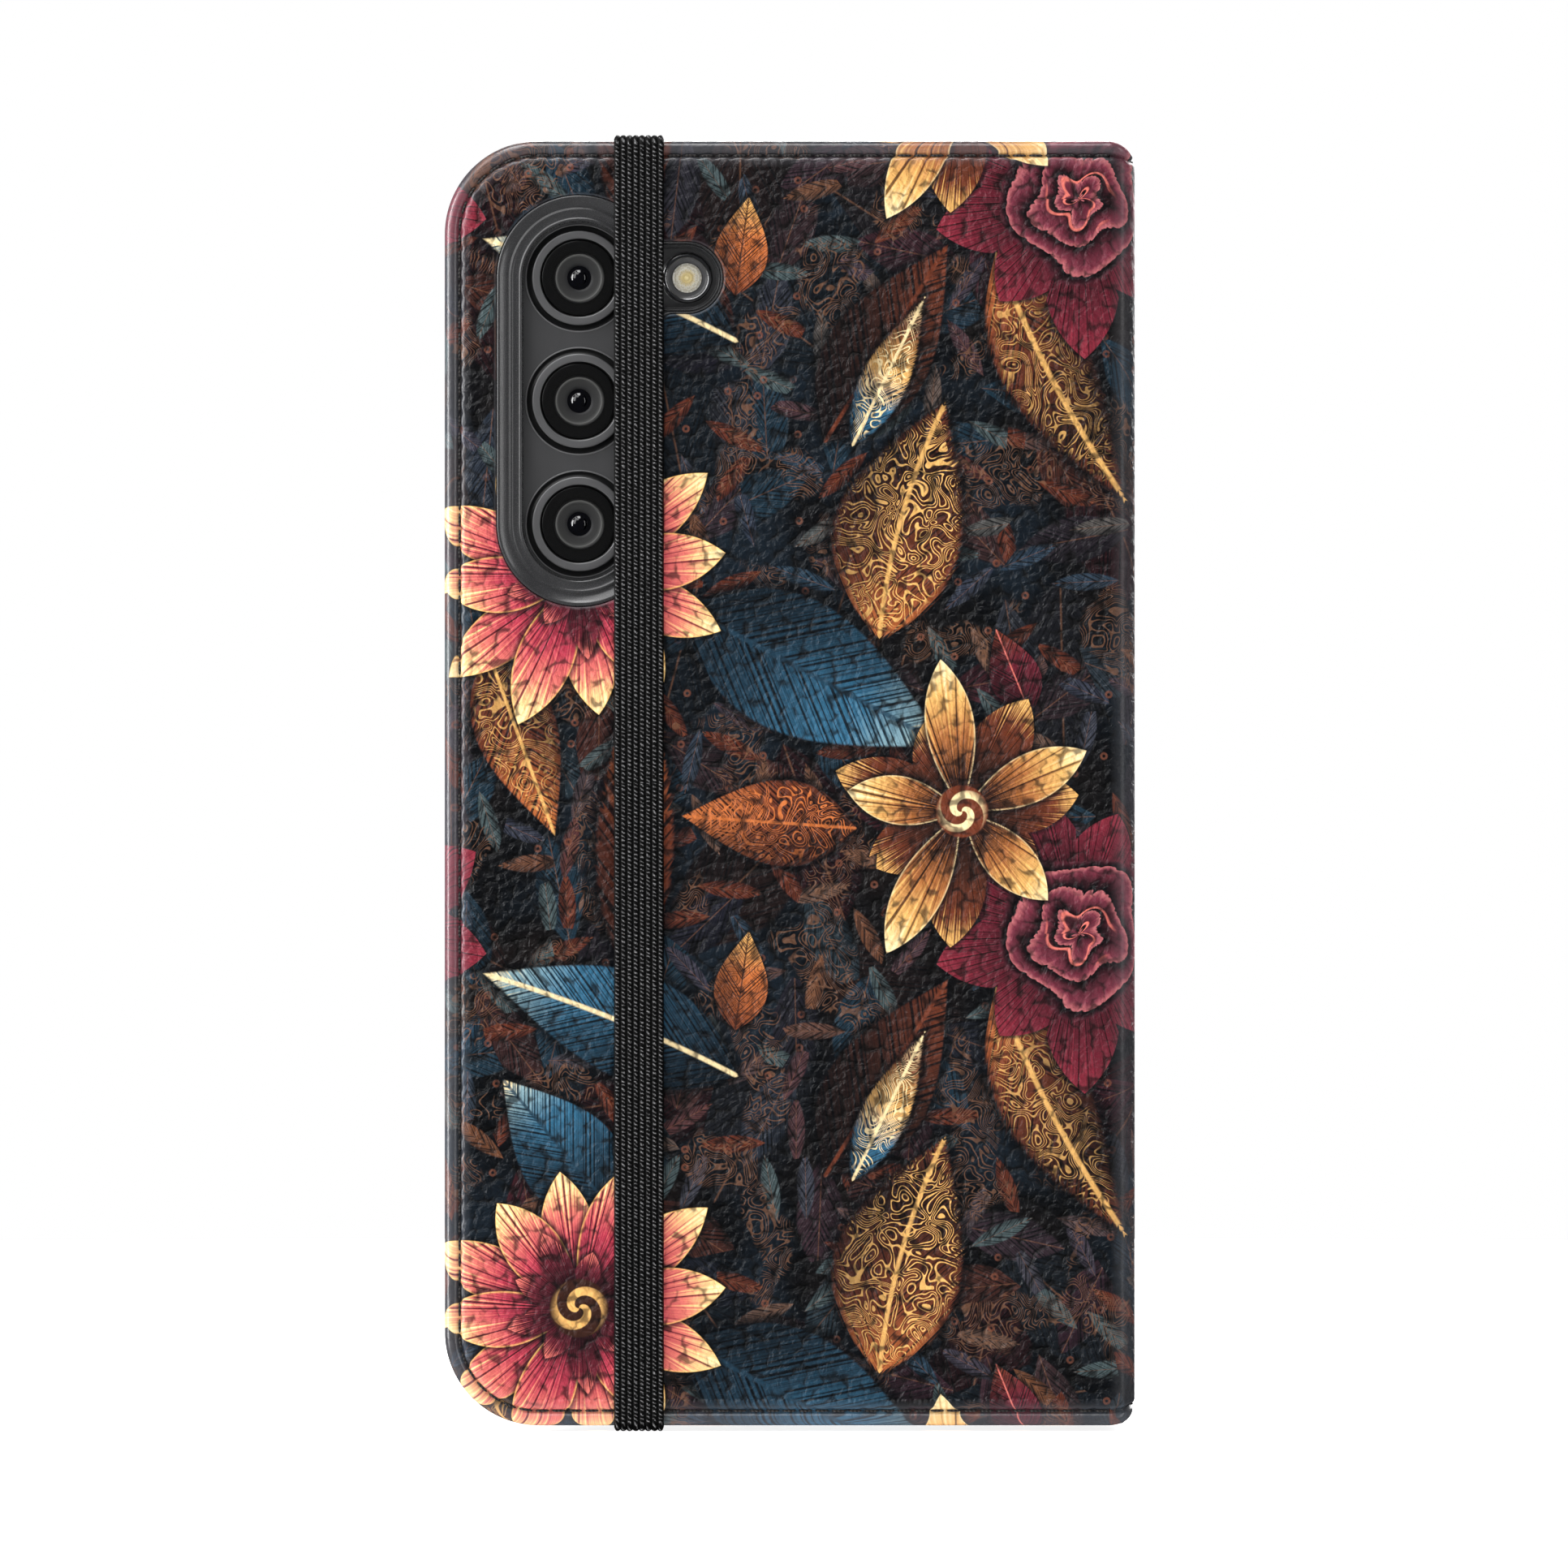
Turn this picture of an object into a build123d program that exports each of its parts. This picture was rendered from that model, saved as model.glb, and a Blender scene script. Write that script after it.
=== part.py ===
"""Folio phone case: printed leather cover that folds like a book round a snap-in tray.

The closed case stands on its lower edge, all lengths in millimetres. +X points to the
spine and -X to the free edge, +Z points up the case, and the back panel faces -Y. The
origin is under the middle of the closed case, level with the lowest point of the strap.
"depth" is measured from the back panel's outer face towards the front cover.
"""

import os

from build123d import *

# ---- driving dimensions -------------------------------------------------------------

PHONE_WIDTH = 70.6
PHONE_HEIGHT = 147.0
PHONE_THICKNESS = 7.6
PHONE_CORNER = 10.0
PHONE_LEFT_MARGIN = 3.9
PHONE_TOP_MARGIN = 3.1

COVER_WIDTH = 81.9
COVER_HEIGHT = 152.4
COVER_CORNER = 11.1
FOLD_RADIUS = 3.0

LEATHER = 0.9
BOARD = 0.8
LINING = 0.5
EDGE_ROLL = 1.6
TURN_IN = 0.95
PANEL = LEATHER + BOARD + LINING

TAPE = 0.15
TRAY_FLOOR = 1.2
TRAY_WALL = 1.5
TRAY_PLAY = 0.2
TRAY_LIP_HEIGHT = 1.0
TRAY_LIP_REACH = 0.9
TRAY_EDGE_ROUND = 0.6
TRAY_TO_FRONT = 0.6

POCKET_LEAF = 0.4
CARD_POCKETS = ("card_pocket_lower", "card_pocket_middle", "card_pocket_upper")
CARD_POCKET_TOPS = (92.0, 106.0, 120.0)
POCKET_INSET = 1.2
POCKET_MOUTH_GAP = 6.0
POCKET_SEAM_DROP = 1.6
POCKET_SEAM_REACH = (11.5, 32.0)
SIDE_SEAM_INSET = 3.0
NOTCH_RADIUS = 16.0
NOTCH_SINK = 3.0
CASH_NOTCH_RISE = 58.0

STRAP_WIDTH = 5.9
STRAP_THICKNESS = 0.6
STRAP_X = -17.9
STRAP_GAP = 0.05
STRAP_TAIL = 4.8
STRAP_SLOT_PLAY = 0.15
STRAP_CORNER = 0.48

SEAM_INSET = 1.95
SEAM_GROOVE_WIDTH = 0.5
SEAM_GROOVE_DEPTH = 0.35
STITCH_PITCH = 1.95
STITCH_LENGTH = 1.5
STITCH_WIDTH = 0.34
STITCH_HEIGHT = 0.25
SPINE_SEAM_INSET = 2.6
SPINE_SLOPE_START = 2.2
SPINE_DROP = ((0.7, 0.75), (0.0, 2.0))

LENS_X = -25.0
LENS_PITCH = 14.6
LENS_TOP_Z = 136.8
FLASH_X = -12.2
WINDOW_RADIUS = 9.8
WINDOW_LOBE = 4.25
LEDGE_RADIUS = 8.1
LEDGE_LOBE = 3.9
FLOOR_RADIUS = 6.75
FLOOR_LOBE = 3.55
WINDOW_FILLET = 1.2
WINDOW_PLAY = 0.05
BEZEL_FLANGE = 1.0
LEDGE_DEPTH = 0.75
LENS_PLATE_DEPTH = 1.7
LENS_RING_RADIUS = 5.6
LENS_GLASS_RADIUS = 4.45
LENS_GLASS = 0.4
LENS_RING_RISE = 0.65
LENS_BORE = 4.2
LENS_SEAT = 0.2
SPIGOT_WALL = 0.25
SPIGOT_PLAY = 0.05
FLASH_RING_RADIUS = 2.95
FLASH_LENS_RADIUS = 1.75
FLASH_BORE = 1.5
FLASH_RING_RISE = 0.5
FLASH_LENS_THICKNESS = 0.4

KEYS_Z = (96.0, 134.0)
KEYS_DEPTH = (4.9, 10.6)
PORT_WIDTH = 44.0
PORT_DEPTH = (4.9, 10.6)
KEYS_CORNER = 1.5
PORT_CORNER = 2.0
CUTTER_OUT = 5.0
CUTTER_IN = 3.0

# ---- places worked out from them ----------------------------------------------------

STRAP_RISE = STRAP_THICKNESS + STRAP_GAP
BOTTOM_Z = STRAP_RISE
TOP_Z = BOTTOM_Z + COVER_HEIGHT
MIDDLE_Z = (BOTTOM_Z + TOP_Z) / 2
FREE_X = -COVER_WIDTH / 2
SPINE_X = COVER_WIDTH / 2
FOLD_X = SPINE_X - FOLD_RADIUS

TRAY_DEPTH = PANEL + TAPE
BAY_DEPTH = TRAY_DEPTH + TRAY_FLOOR
LIP_DEPTH = BAY_DEPTH + PHONE_THICKNESS + TRAY_PLAY
TRAY_END = LIP_DEPTH + TRAY_LIP_HEIGHT
FRONT = PANEL + POCKET_LEAF * (1 + len(CARD_POCKETS))
THICKNESS = TRAY_END + TRAY_TO_FRONT + FRONT
BACK_Y = -(THICKNESS - STRAP_RISE) / 2

BAY_X = FREE_X + PHONE_LEFT_MARGIN + PHONE_WIDTH / 2
BAY_Z = TOP_Z - PHONE_TOP_MARGIN - PHONE_HEIGHT / 2
LENS_Z = [LENS_TOP_Z - LENS_PITCH * i for i in range(3)]
LENS_NAMES = ("upper", "middle", "lower")


# ---- helpers ------------------------------------------------------------------------


def slab(face, near, far):
    """A face drawn in (x, z), thickened from one depth to another."""
    far_plane = Plane((0, BACK_Y + far, 0), x_dir=(1, 0, 0), z_dir=(0, -1, 0))
    return extrude(far_plane * face, amount=far - near)


def front_slab(face, near, far):
    """The same, with depths measured inwards from the front cover's outer face."""
    return slab(face, THICKNESS - far, THICKNESS - near)


def block(x, depth, z):
    """A box between two x, two depths and two z."""
    size = (x[1] - x[0], depth[1] - depth[0], z[1] - z[0])
    middle = (sum(x) / 2, BACK_Y + sum(depth) / 2, sum(z) / 2)
    return Pos(*middle) * Box(*size)


def panel_outline(inset, right=FOLD_X):
    """Cover panel in (x, z): round corners on the free edge, square at the fold."""
    left = FREE_X + inset
    sheet = Pos((left + right) / 2, MIDDLE_Z) * Rectangle(right - left, COVER_HEIGHT - 2 * inset)
    return fillet(sheet.vertices().group_by(Axis.X)[0], COVER_CORNER - inset)


def window_outline(radius, lobe):
    """Camera window in (x, z): an upright slot with a side lobe round the flash."""
    slot_middle = (LENS_Z[0] + LENS_Z[-1]) / 2
    slot_length = LENS_Z[0] - LENS_Z[-1] + 2 * radius
    slot = Pos(LENS_X, slot_middle) * Rot(0, 0, 90) * SlotOverall(slot_length, 2 * radius)
    arm = Pos((LENS_X + FLASH_X) / 2, LENS_Z[0]) * Rectangle(FLASH_X - LENS_X, 2 * lobe)
    tip = Pos(FLASH_X, LENS_Z[0]) * Circle(lobe)
    outline = slot + arm + tip
    side = [v for v in outline.vertices() if v.X > LENS_X + radius / 2 and v.X < FLASH_X - 0.1]
    joins = [v for v in side if abs(abs(v.Y - LENS_Z[0]) - lobe) < 0.01]
    return fillet(joins, WINDOW_FILLET)


def tray_outline(margin):
    """Phone outline grown by a margin, in (x, z)."""
    width = PHONE_WIDTH + 2 * margin
    height = PHONE_HEIGHT + 2 * margin
    return Pos(BAY_X, BAY_Z) * RectangleRounded(width, height, PHONE_CORNER + margin)


def disc(x, z, radius, near, far):
    """A round piece across the thickness."""
    return slab(Pos(x, z) * Circle(radius), near, far)


def tube(x, z, outer, inner, near, far):
    """A ring across the thickness."""
    return disc(x, z, outer, near, far) - disc(x, z, inner, near - 1, far + 1)


def silhouette():
    """The closed case seen from the back, with the spine's softly dropped corners."""
    start = FOLD_X - SPINE_SLOPE_START
    slope = [(start, TOP_Z)] + [(SPINE_X - x, TOP_Z - z) for x, z in SPINE_DROP]
    upper = Spline(slope, tangents=[(1, 0), (0, -1)])
    lower = mirror(upper, about=Plane((0, MIDDLE_Z, 0), z_dir=(0, 1, 0)))
    straight_end = SPINE_DROP[-1][1]
    edge = [
        Line((FREE_X, BOTTOM_Z), (FREE_X, TOP_Z)),
        Line((FREE_X, TOP_Z), (start, TOP_Z)),
        upper,
        Line((SPINE_X, TOP_Z - straight_end), (SPINE_X, BOTTOM_Z + straight_end)),
        lower,
        Line((start, BOTTOM_Z), (FREE_X, BOTTOM_Z)),
    ]
    return slab(make_face(Curve() + edge), -1, THICKNESS + 1)


def seam_path(inset):
    """Line of stitches round a panel's three outer edges, open at the fold."""
    left = FREE_X + inset
    right = FOLD_X - 0.6
    corners = [
        (right, TOP_Z - inset),
        (left, TOP_Z - inset),
        (left, BOTTOM_Z + inset),
        (right, BOTTOM_Z + inset),
    ]
    return FilletPolyline(*corners, radius=COVER_CORNER - inset)


def stitch(place, along, up):
    """One stitch of thread, lying on a surface whose outward direction is up."""
    frame = Plane(place, x_dir=along, z_dir=up)
    return frame * Box(STITCH_LENGTH, STITCH_WIDTH, STITCH_HEIGHT)


def stitch_row(path, depth_of):
    """Stitches along a path drawn in (x, z), each at the depth that its height calls for."""
    count = int(path.length / STITCH_PITCH)
    row = []
    for i in range(count):
        fraction = (i + 0.5) / count
        spot = path @ fraction
        way = path % fraction
        place = (spot.X, BACK_Y + depth_of(spot.Y), spot.Y)
        row.append(stitch(place, (way.X, 0, way.Y), (0, -1, 0)))
    return row


# ---- leather cover ------------------------------------------------------------------


def panel_leather():
    """Back panel leather: rolled over the board's edges and grooved by the seam."""
    body = slab(panel_outline(0), 0, PANEL)
    outer = body.faces().sort_by(Axis.Y)[0].edges()
    body = fillet([e for e in outer if e.center().X < FOLD_X - 0.1], EDGE_ROLL)
    body -= slab(panel_outline(TURN_IN, FOLD_X + 1), LEATHER, PANEL + 1)
    rim = panel_outline(SEAM_INSET - SEAM_GROOVE_WIDTH / 2, FOLD_X + 2)
    core = panel_outline(SEAM_INSET + SEAM_GROOVE_WIDTH / 2, FOLD_X + 3)
    return body - slab(rim - core, -1, SEAM_GROOVE_DEPTH)


def flip(solid):
    """The back panel's piece turned over to the front cover."""
    middle = Plane((0, BACK_Y + THICKNESS / 2, 0), z_dir=(0, 1, 0))
    return mirror(solid, about=middle)


def window_cut(radius, lobe, near, far):
    """The camera window's hole through a layer."""
    return slab(window_outline(radius + WINDOW_PLAY, lobe + WINDOW_PLAY), near, far)


def strap_room(near, far, length):
    """Room at both ends of the back panel for the strap's sewn-in tails."""
    half = STRAP_WIDTH / 2 + STRAP_SLOT_PLAY
    x = (STRAP_X - half, STRAP_X + half)
    upper = block(x, (near, far), (TOP_Z - length, TOP_Z + 1))
    lower = block(x, (near, far), (BOTTOM_Z - 1, BOTTOM_Z + length))
    return upper + lower


def back_leather():
    """Printed leather of the back panel, with the camera window and strap slits."""
    tail_near = LEATHER + BOARD / 2 - STRAP_THICKNESS / 2
    leather = panel_leather() - window_cut(WINDOW_RADIUS, WINDOW_LOBE, -1, LEATHER + 0.5)
    return leather - strap_room(tail_near - 0.05, tail_near + STRAP_THICKNESS + 0.05, TURN_IN + 0.3)


def panel_board():
    """Greyboard that keeps a panel flat."""
    return slab(panel_outline(TURN_IN + 0.05, FOLD_X - 0.3), LEATHER, LEATHER + BOARD)


def back_board():
    """The back panel's board, cut for the window and the strap's tails."""
    board = panel_board() - window_cut(WINDOW_RADIUS, WINDOW_LOBE, 0, PANEL)
    return board - strap_room(LEATHER - 0.1, LEATHER + BOARD + 0.1, STRAP_TAIL + 0.5)


def panel_lining():
    """Microfibre lining of a panel."""
    return slab(panel_outline(TURN_IN + 0.05, FOLD_X - 0.3), LEATHER + BOARD, PANEL)


def back_lining():
    """The back panel's lining, cut for the bezel's flange."""
    flange = WINDOW_RADIUS + BEZEL_FLANGE
    return panel_lining() - window_cut(flange, WINDOW_LOBE + BEZEL_FLANGE, 0, PANEL + 1)


def fold_ring(outer, inner):
    """Quarter ring of a soft layer at the back fold, the case's full height."""
    centre = (FOLD_X, BACK_Y + FOLD_RADIUS)
    ring = Circle(outer) - Circle(inner)
    quarter = ring & (Pos(outer / 2, -outer / 2) * Rectangle(outer, outer))
    return extrude(Pos(centre[0], centre[1], BOTTOM_Z) * quarter, amount=COVER_HEIGHT)


def fold_leather():
    """Printed leather that bends round the back fold."""
    return fold_ring(FOLD_RADIUS, FOLD_RADIUS - LEATHER) & silhouette()


def fold_lining():
    """Lining that bends round inside the back fold."""
    inner = FOLD_RADIUS - LEATHER
    return fold_ring(inner, inner - LINING) & slab(panel_outline(TURN_IN, SPINE_X), 0, THICKNESS)


def spine_leather():
    """Printed leather of the spine, turned in at both ends and grooved by its seams."""
    depth = (FOLD_RADIUS, THICKNESS - FOLD_RADIUS)
    body = block((SPINE_X - PANEL, SPINE_X), depth, (BOTTOM_Z, TOP_Z)) & silhouette()
    hollow_z = (BOTTOM_Z + SPINE_SEAM_INSET - 0.2, TOP_Z - SPINE_SEAM_INSET + 0.2)
    hollow = block((SPINE_X - PANEL - 1, SPINE_X - LEATHER), (depth[0] - 1, depth[1] + 1), hollow_z)
    body -= hollow
    for seam_z in (BOTTOM_Z + SPINE_SEAM_INSET, TOP_Z - SPINE_SEAM_INSET):
        half = SEAM_GROOVE_WIDTH / 2
        groove_x = (SPINE_X - SEAM_GROOVE_DEPTH, SPINE_X + 1)
        body -= block(groove_x, (depth[0] - 1, depth[1] + 1), (seam_z - half, seam_z + half))
    return body


def spine_layer(near, far):
    """A flat layer behind the spine's leather, between two distances from its face."""
    depth = (FOLD_RADIUS + 0.2, THICKNESS - FOLD_RADIUS - 0.2)
    z = (BOTTOM_Z + SPINE_SEAM_INSET - 0.1, TOP_Z - SPINE_SEAM_INSET + 0.1)
    return block((SPINE_X - far, SPINE_X - near), depth, z)


def spine_stitching():
    """The two short rows of thread across the spine's ends."""
    start = FOLD_RADIUS + 0.3
    length = THICKNESS - 2 * start
    count = int(length / STITCH_PITCH)
    rows = []
    for seam_z in (BOTTOM_Z + SPINE_SEAM_INSET, TOP_Z - SPINE_SEAM_INSET):
        for i in range(count):
            y = BACK_Y + start + length * (i + 0.5) / count
            x = SPINE_X - SEAM_GROOVE_DEPTH / 2
            rows.append(stitch((x, y, seam_z), (0, 1, 0), (1, 0, 0)))
    return rows


def seam_depth(_z):
    """Depth of the thread's middle inside the outer seam groove."""
    return SEAM_GROOVE_DEPTH / 2


def back_stitching():
    """Thread round the back panel."""
    return stitch_row(seam_path(SEAM_INSET), seam_depth)


def inner_face_depth(z):
    """Depth of the thread's middle on the inside of the front cover at a height."""
    leaves = 1 + sum(1 for top in CARD_POCKET_TOPS if z < top)
    return THICKNESS - PANEL - POCKET_LEAF * leaves - STITCH_HEIGHT / 2 - 0.01


def clear_of_steps(one):
    """True where a stitch lies on one pocket leaf, short of the mouths and of the fold side."""
    spot = one.center()
    beside = all(abs(spot.Z - top) > STITCH_LENGTH / 2 + 0.1 for top in CARD_POCKET_TOPS)
    return beside and spot.X < FOLD_X - POCKET_MOUTH_GAP - STITCH_LENGTH / 2


def front_stitching():
    """Thread round the front cover, seen on its face and on its pockets."""
    outer = [flip(one) for one in back_stitching()]
    inner = stitch_row(seam_path(SEAM_INSET), inner_face_depth)
    return outer + [one for one in inner if clear_of_steps(one)]


# ---- camera guard -------------------------------------------------------------------


def camera_bezel():
    """Stepped frame that finishes the camera window, held by a flange under the board."""
    ring = slab(window_outline(WINDOW_RADIUS, WINDOW_LOBE), 0, LEATHER + BOARD)
    flange_lobe = WINDOW_LOBE + BEZEL_FLANGE
    ring += slab(window_outline(WINDOW_RADIUS + BEZEL_FLANGE, flange_lobe), LEATHER + BOARD, PANEL)
    ring -= slab(window_outline(LEDGE_RADIUS, LEDGE_LOBE), -1, LEDGE_DEPTH)
    return ring - slab(window_outline(FLOOR_RADIUS, FLOOR_LOBE), -1, PANEL + 1)


def camera_plate():
    """Flat floor of the camera window, bored for the lens rings and the flash."""
    outline = window_outline(FLOOR_RADIUS - WINDOW_PLAY, FLOOR_LOBE - WINDOW_PLAY)
    plate = slab(outline, LENS_PLATE_DEPTH, TRAY_DEPTH)
    room = SPIGOT_WALL + SPIGOT_PLAY
    for z in LENS_Z:
        plate -= disc(LENS_X, z, LENS_GLASS_RADIUS + room, 0, THICKNESS)
    return plate - disc(FLASH_X, LENS_Z[0], FLASH_LENS_RADIUS + room, 0, THICKNESS)


def lens_ring(z):
    """Bevelled ring round one lens, with a seat for its glass and a spigot below."""
    top = LENS_PLATE_DEPTH - LENS_RING_RISE
    ring = tube(LENS_X, z, LENS_RING_RADIUS, LENS_BORE, top, LENS_PLATE_DEPTH)
    edge = ring.faces().sort_by(Axis.Y)[0].edges().sort_by(SortBy.LENGTH)[-1]
    ring = chamfer(edge, LENS_RING_RISE * 0.6)
    spigot = LENS_GLASS_RADIUS + SPIGOT_WALL
    ring += tube(LENS_X, z, spigot, LENS_BORE, LENS_PLATE_DEPTH, TRAY_DEPTH)
    seat_end = top + LENS_SEAT + LENS_GLASS
    return ring - disc(LENS_X, z, LENS_GLASS_RADIUS + SPIGOT_PLAY, top - 1, seat_end)


def lens_cover(z):
    """Glass disc over one lens."""
    seat = LENS_PLATE_DEPTH - LENS_RING_RISE + LENS_SEAT
    return disc(LENS_X, z, LENS_GLASS_RADIUS, seat, seat + LENS_GLASS)


def flash_ring():
    """Bright bevelled ring round the flash window."""
    top = LENS_PLATE_DEPTH - FLASH_RING_RISE
    z = LENS_Z[0]
    spigot = FLASH_LENS_RADIUS + SPIGOT_WALL
    ring = tube(FLASH_X, z, FLASH_RING_RADIUS, FLASH_BORE, top, LENS_PLATE_DEPTH)
    ring += tube(FLASH_X, z, spigot, FLASH_BORE, LENS_PLATE_DEPTH, TRAY_DEPTH)
    return ring - disc(FLASH_X, z, FLASH_LENS_RADIUS + SPIGOT_PLAY, top - 1, LENS_PLATE_DEPTH)


def flash_lens():
    """Milky diffuser over the flash."""
    near = LENS_PLATE_DEPTH - FLASH_LENS_THICKNESS
    return disc(FLASH_X, LENS_Z[0], FLASH_LENS_RADIUS, near, LENS_PLATE_DEPTH)


# ---- phone tray ---------------------------------------------------------------------


def phone_tray():
    """Snap-in tray: floor, walls and a lip, open at the keys and at the port."""
    body = slab(tray_outline(TRAY_PLAY + TRAY_WALL), TRAY_DEPTH, TRAY_END)
    rims = body.edges().filter_by(lambda e: abs(e.center().Y - BACK_Y - TRAY_END) < 0.01)
    body = fillet(rims, TRAY_EDGE_ROUND)
    body -= slab(tray_outline(TRAY_PLAY), BAY_DEPTH, LIP_DEPTH)
    body -= slab(tray_outline(TRAY_PLAY - TRAY_LIP_REACH), LIP_DEPTH - 1, TRAY_END + 1)
    side = BAY_X - PHONE_WIDTH / 2
    keys = block((side - CUTTER_OUT, side + CUTTER_IN), KEYS_DEPTH, KEYS_Z)
    keys = fillet(keys.edges().filter_by(Axis.X), KEYS_CORNER)
    end = BAY_Z - PHONE_HEIGHT / 2
    port_x = (BAY_X - PORT_WIDTH / 2, BAY_X + PORT_WIDTH / 2)
    port = block(port_x, PORT_DEPTH, (end - CUTTER_OUT, end + CUTTER_IN))
    port = fillet(port.edges().filter_by(Axis.Z), PORT_CORNER)
    body = body - keys - port
    for z in LENS_Z:
        body -= disc(LENS_X, z, LENS_BORE, 0, THICKNESS)
    return body - disc(FLASH_X, LENS_Z[0], FLASH_BORE, 0, THICKNESS)


def tray_tape():
    """Sheet of adhesive between the tray and the lining."""
    sheet = slab(tray_outline(-3.0), PANEL, TRAY_DEPTH)
    return sheet - window_cut(WINDOW_RADIUS, WINDOW_LOBE, 0, THICKNESS)


# ---- wallet pockets -----------------------------------------------------------------


def pocket_sheet(right, top):
    """A pocket leaf's outline: round at the free edge, cut straight at the top."""
    sheet = panel_outline(POCKET_INSET, right)
    if top is None:
        return sheet
    keep = Pos(0, (BOTTOM_Z + top) / 2) * Rectangle(2 * COVER_WIDTH, top - BOTTOM_Z)
    return sheet & keep


def thumb_notch(x, z, turned):
    """Shallow scoop that a thumb pushes a card or a note out of."""
    away = NOTCH_RADIUS - NOTCH_SINK
    centre = Pos(x + away, z) if turned else Pos(x, z + away)
    return centre * Circle(NOTCH_RADIUS)


def cash_pocket():
    """Long note pocket, open towards the spine."""
    right = FOLD_X - POCKET_MOUTH_GAP
    sheet = pocket_sheet(right, None) - thumb_notch(right, MIDDLE_Z + CASH_NOTCH_RISE, True)
    return front_slab(sheet, PANEL, PANEL + POCKET_LEAF)


def card_pocket(layer, top):
    """One card pocket leaf; each lies on the one behind it and stops lower down."""
    right = FOLD_X - POCKET_MOUTH_GAP - 1.0
    centre = (FREE_X + right) / 2
    sheet = pocket_sheet(right, top) - thumb_notch(centre, top, False)
    near = PANEL + POCKET_LEAF * (1 + layer)
    return front_slab(sheet, near, near + POCKET_LEAF)


def pocket_stitching():
    """Side seam of the card pockets and a seam under each pocket's mouth."""
    seam_x = FOLD_X - POCKET_MOUTH_GAP - SIDE_SEAM_INSET
    centre = (FREE_X + seam_x) / 2
    near, far = POCKET_SEAM_REACH
    rows = []
    lower = BOTTOM_Z + 2 * SEAM_INSET
    for top in CARD_POCKET_TOPS:
        rows += stitch_row(Line((seam_x, lower), (seam_x, top - 1.0)), inner_face_depth)
        lower = top + 1.0
        for side in (-1, 1):
            height = top - POCKET_SEAM_DROP
            mouth = Line((centre + side * near, height), (centre + side * far, height))
            rows += stitch_row(mouth, inner_face_depth)
    return rows


# ---- elastic strap ------------------------------------------------------------------


def elastic_strap():
    """Flat elastic across the back, turned over both edges and sewn into the panel."""
    x = (STRAP_X - STRAP_WIDTH / 2, STRAP_X + STRAP_WIDTH / 2)
    tail_near = LEATHER + BOARD / 2 - STRAP_THICKNESS / 2
    tail_far = tail_near + STRAP_THICKNESS
    top = TOP_Z + STRAP_RISE
    strap = block(x, (-STRAP_RISE, -STRAP_GAP), (0, top))
    strap += block(x, (-STRAP_RISE, tail_far), (TOP_Z + STRAP_GAP, top))
    strap += block(x, (-STRAP_RISE, tail_far), (0, STRAP_THICKNESS))
    strap += block(x, (tail_near, tail_far), (TOP_Z - STRAP_TAIL, top))
    strap += block(x, (tail_near, tail_far), (0, BOTTOM_Z + STRAP_TAIL))
    across = strap.edges().filter_by(Axis.X)
    corners = [e for e in across if abs(e.center().Z - MIDDLE_Z) > COVER_HEIGHT / 2 + STRAP_THICKNESS]
    return fillet(corners, STRAP_CORNER)


# ---- all pieces ---------------------------------------------------------------------


def pieces():
    """Every node's name with its solid or its list of solids."""
    made = {
        "back_leather": back_leather(),
        "back_board": back_board(),
        "back_lining": back_lining(),
        "back_stitching": back_stitching(),
        "camera_bezel": camera_bezel(),
        "camera_plate": camera_plate(),
        "flash_ring": flash_ring(),
        "flash_lens": flash_lens(),
        "phone_tray": phone_tray(),
        "tray_tape": tray_tape(),
        "back_fold": fold_leather(),
        "back_fold_lining": fold_lining(),
        "spine_leather": spine_leather(),
        "spine_board": spine_layer(LEATHER, LEATHER + BOARD),
        "spine_lining": spine_layer(LEATHER + BOARD, PANEL),
        "spine_stitching": spine_stitching(),
        "front_fold": flip(fold_leather()),
        "front_fold_lining": flip(fold_lining()),
        "front_leather": flip(panel_leather()),
        "front_board": flip(panel_board()),
        "front_lining": flip(panel_lining()),
        "front_stitching": front_stitching(),
        "cash_pocket": cash_pocket(),
        "pocket_stitching": pocket_stitching(),
        "elastic_strap": elastic_strap(),
    }
    for name, z in zip(LENS_NAMES, LENS_Z):
        made["lens_ring_" + name] = lens_ring(z)
        made["lens_cover_" + name] = lens_cover(z)
    for layer, (name, top) in enumerate(zip(reversed(CARD_POCKETS), reversed(CARD_POCKET_TOPS))):
        made[name] = card_pocket(layer, top)
    return made


os.makedirs("parts", exist_ok=True)
for node, shape in pieces().items():
    solid = Compound(children=shape) if isinstance(shape, list) else shape
    export_step(solid, os.path.join("parts", node + ".step"))
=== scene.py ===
"""Looks of a folio phone case: printed leather cover, camera guard, elastic strap, wallet inside.

Lengths are in millimetres until a mesh is made. "depth" is measured from a panel's outer face
into the case, and "inset" from the panel's edge inwards. The printed leather carries a map
named "sheet", which gives each point's place on the cover laid out flat.
"""

import math

import bmesh
import bpy
import numpy as np
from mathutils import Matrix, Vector
from mathutils.geometry import tessellate_polygon


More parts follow.
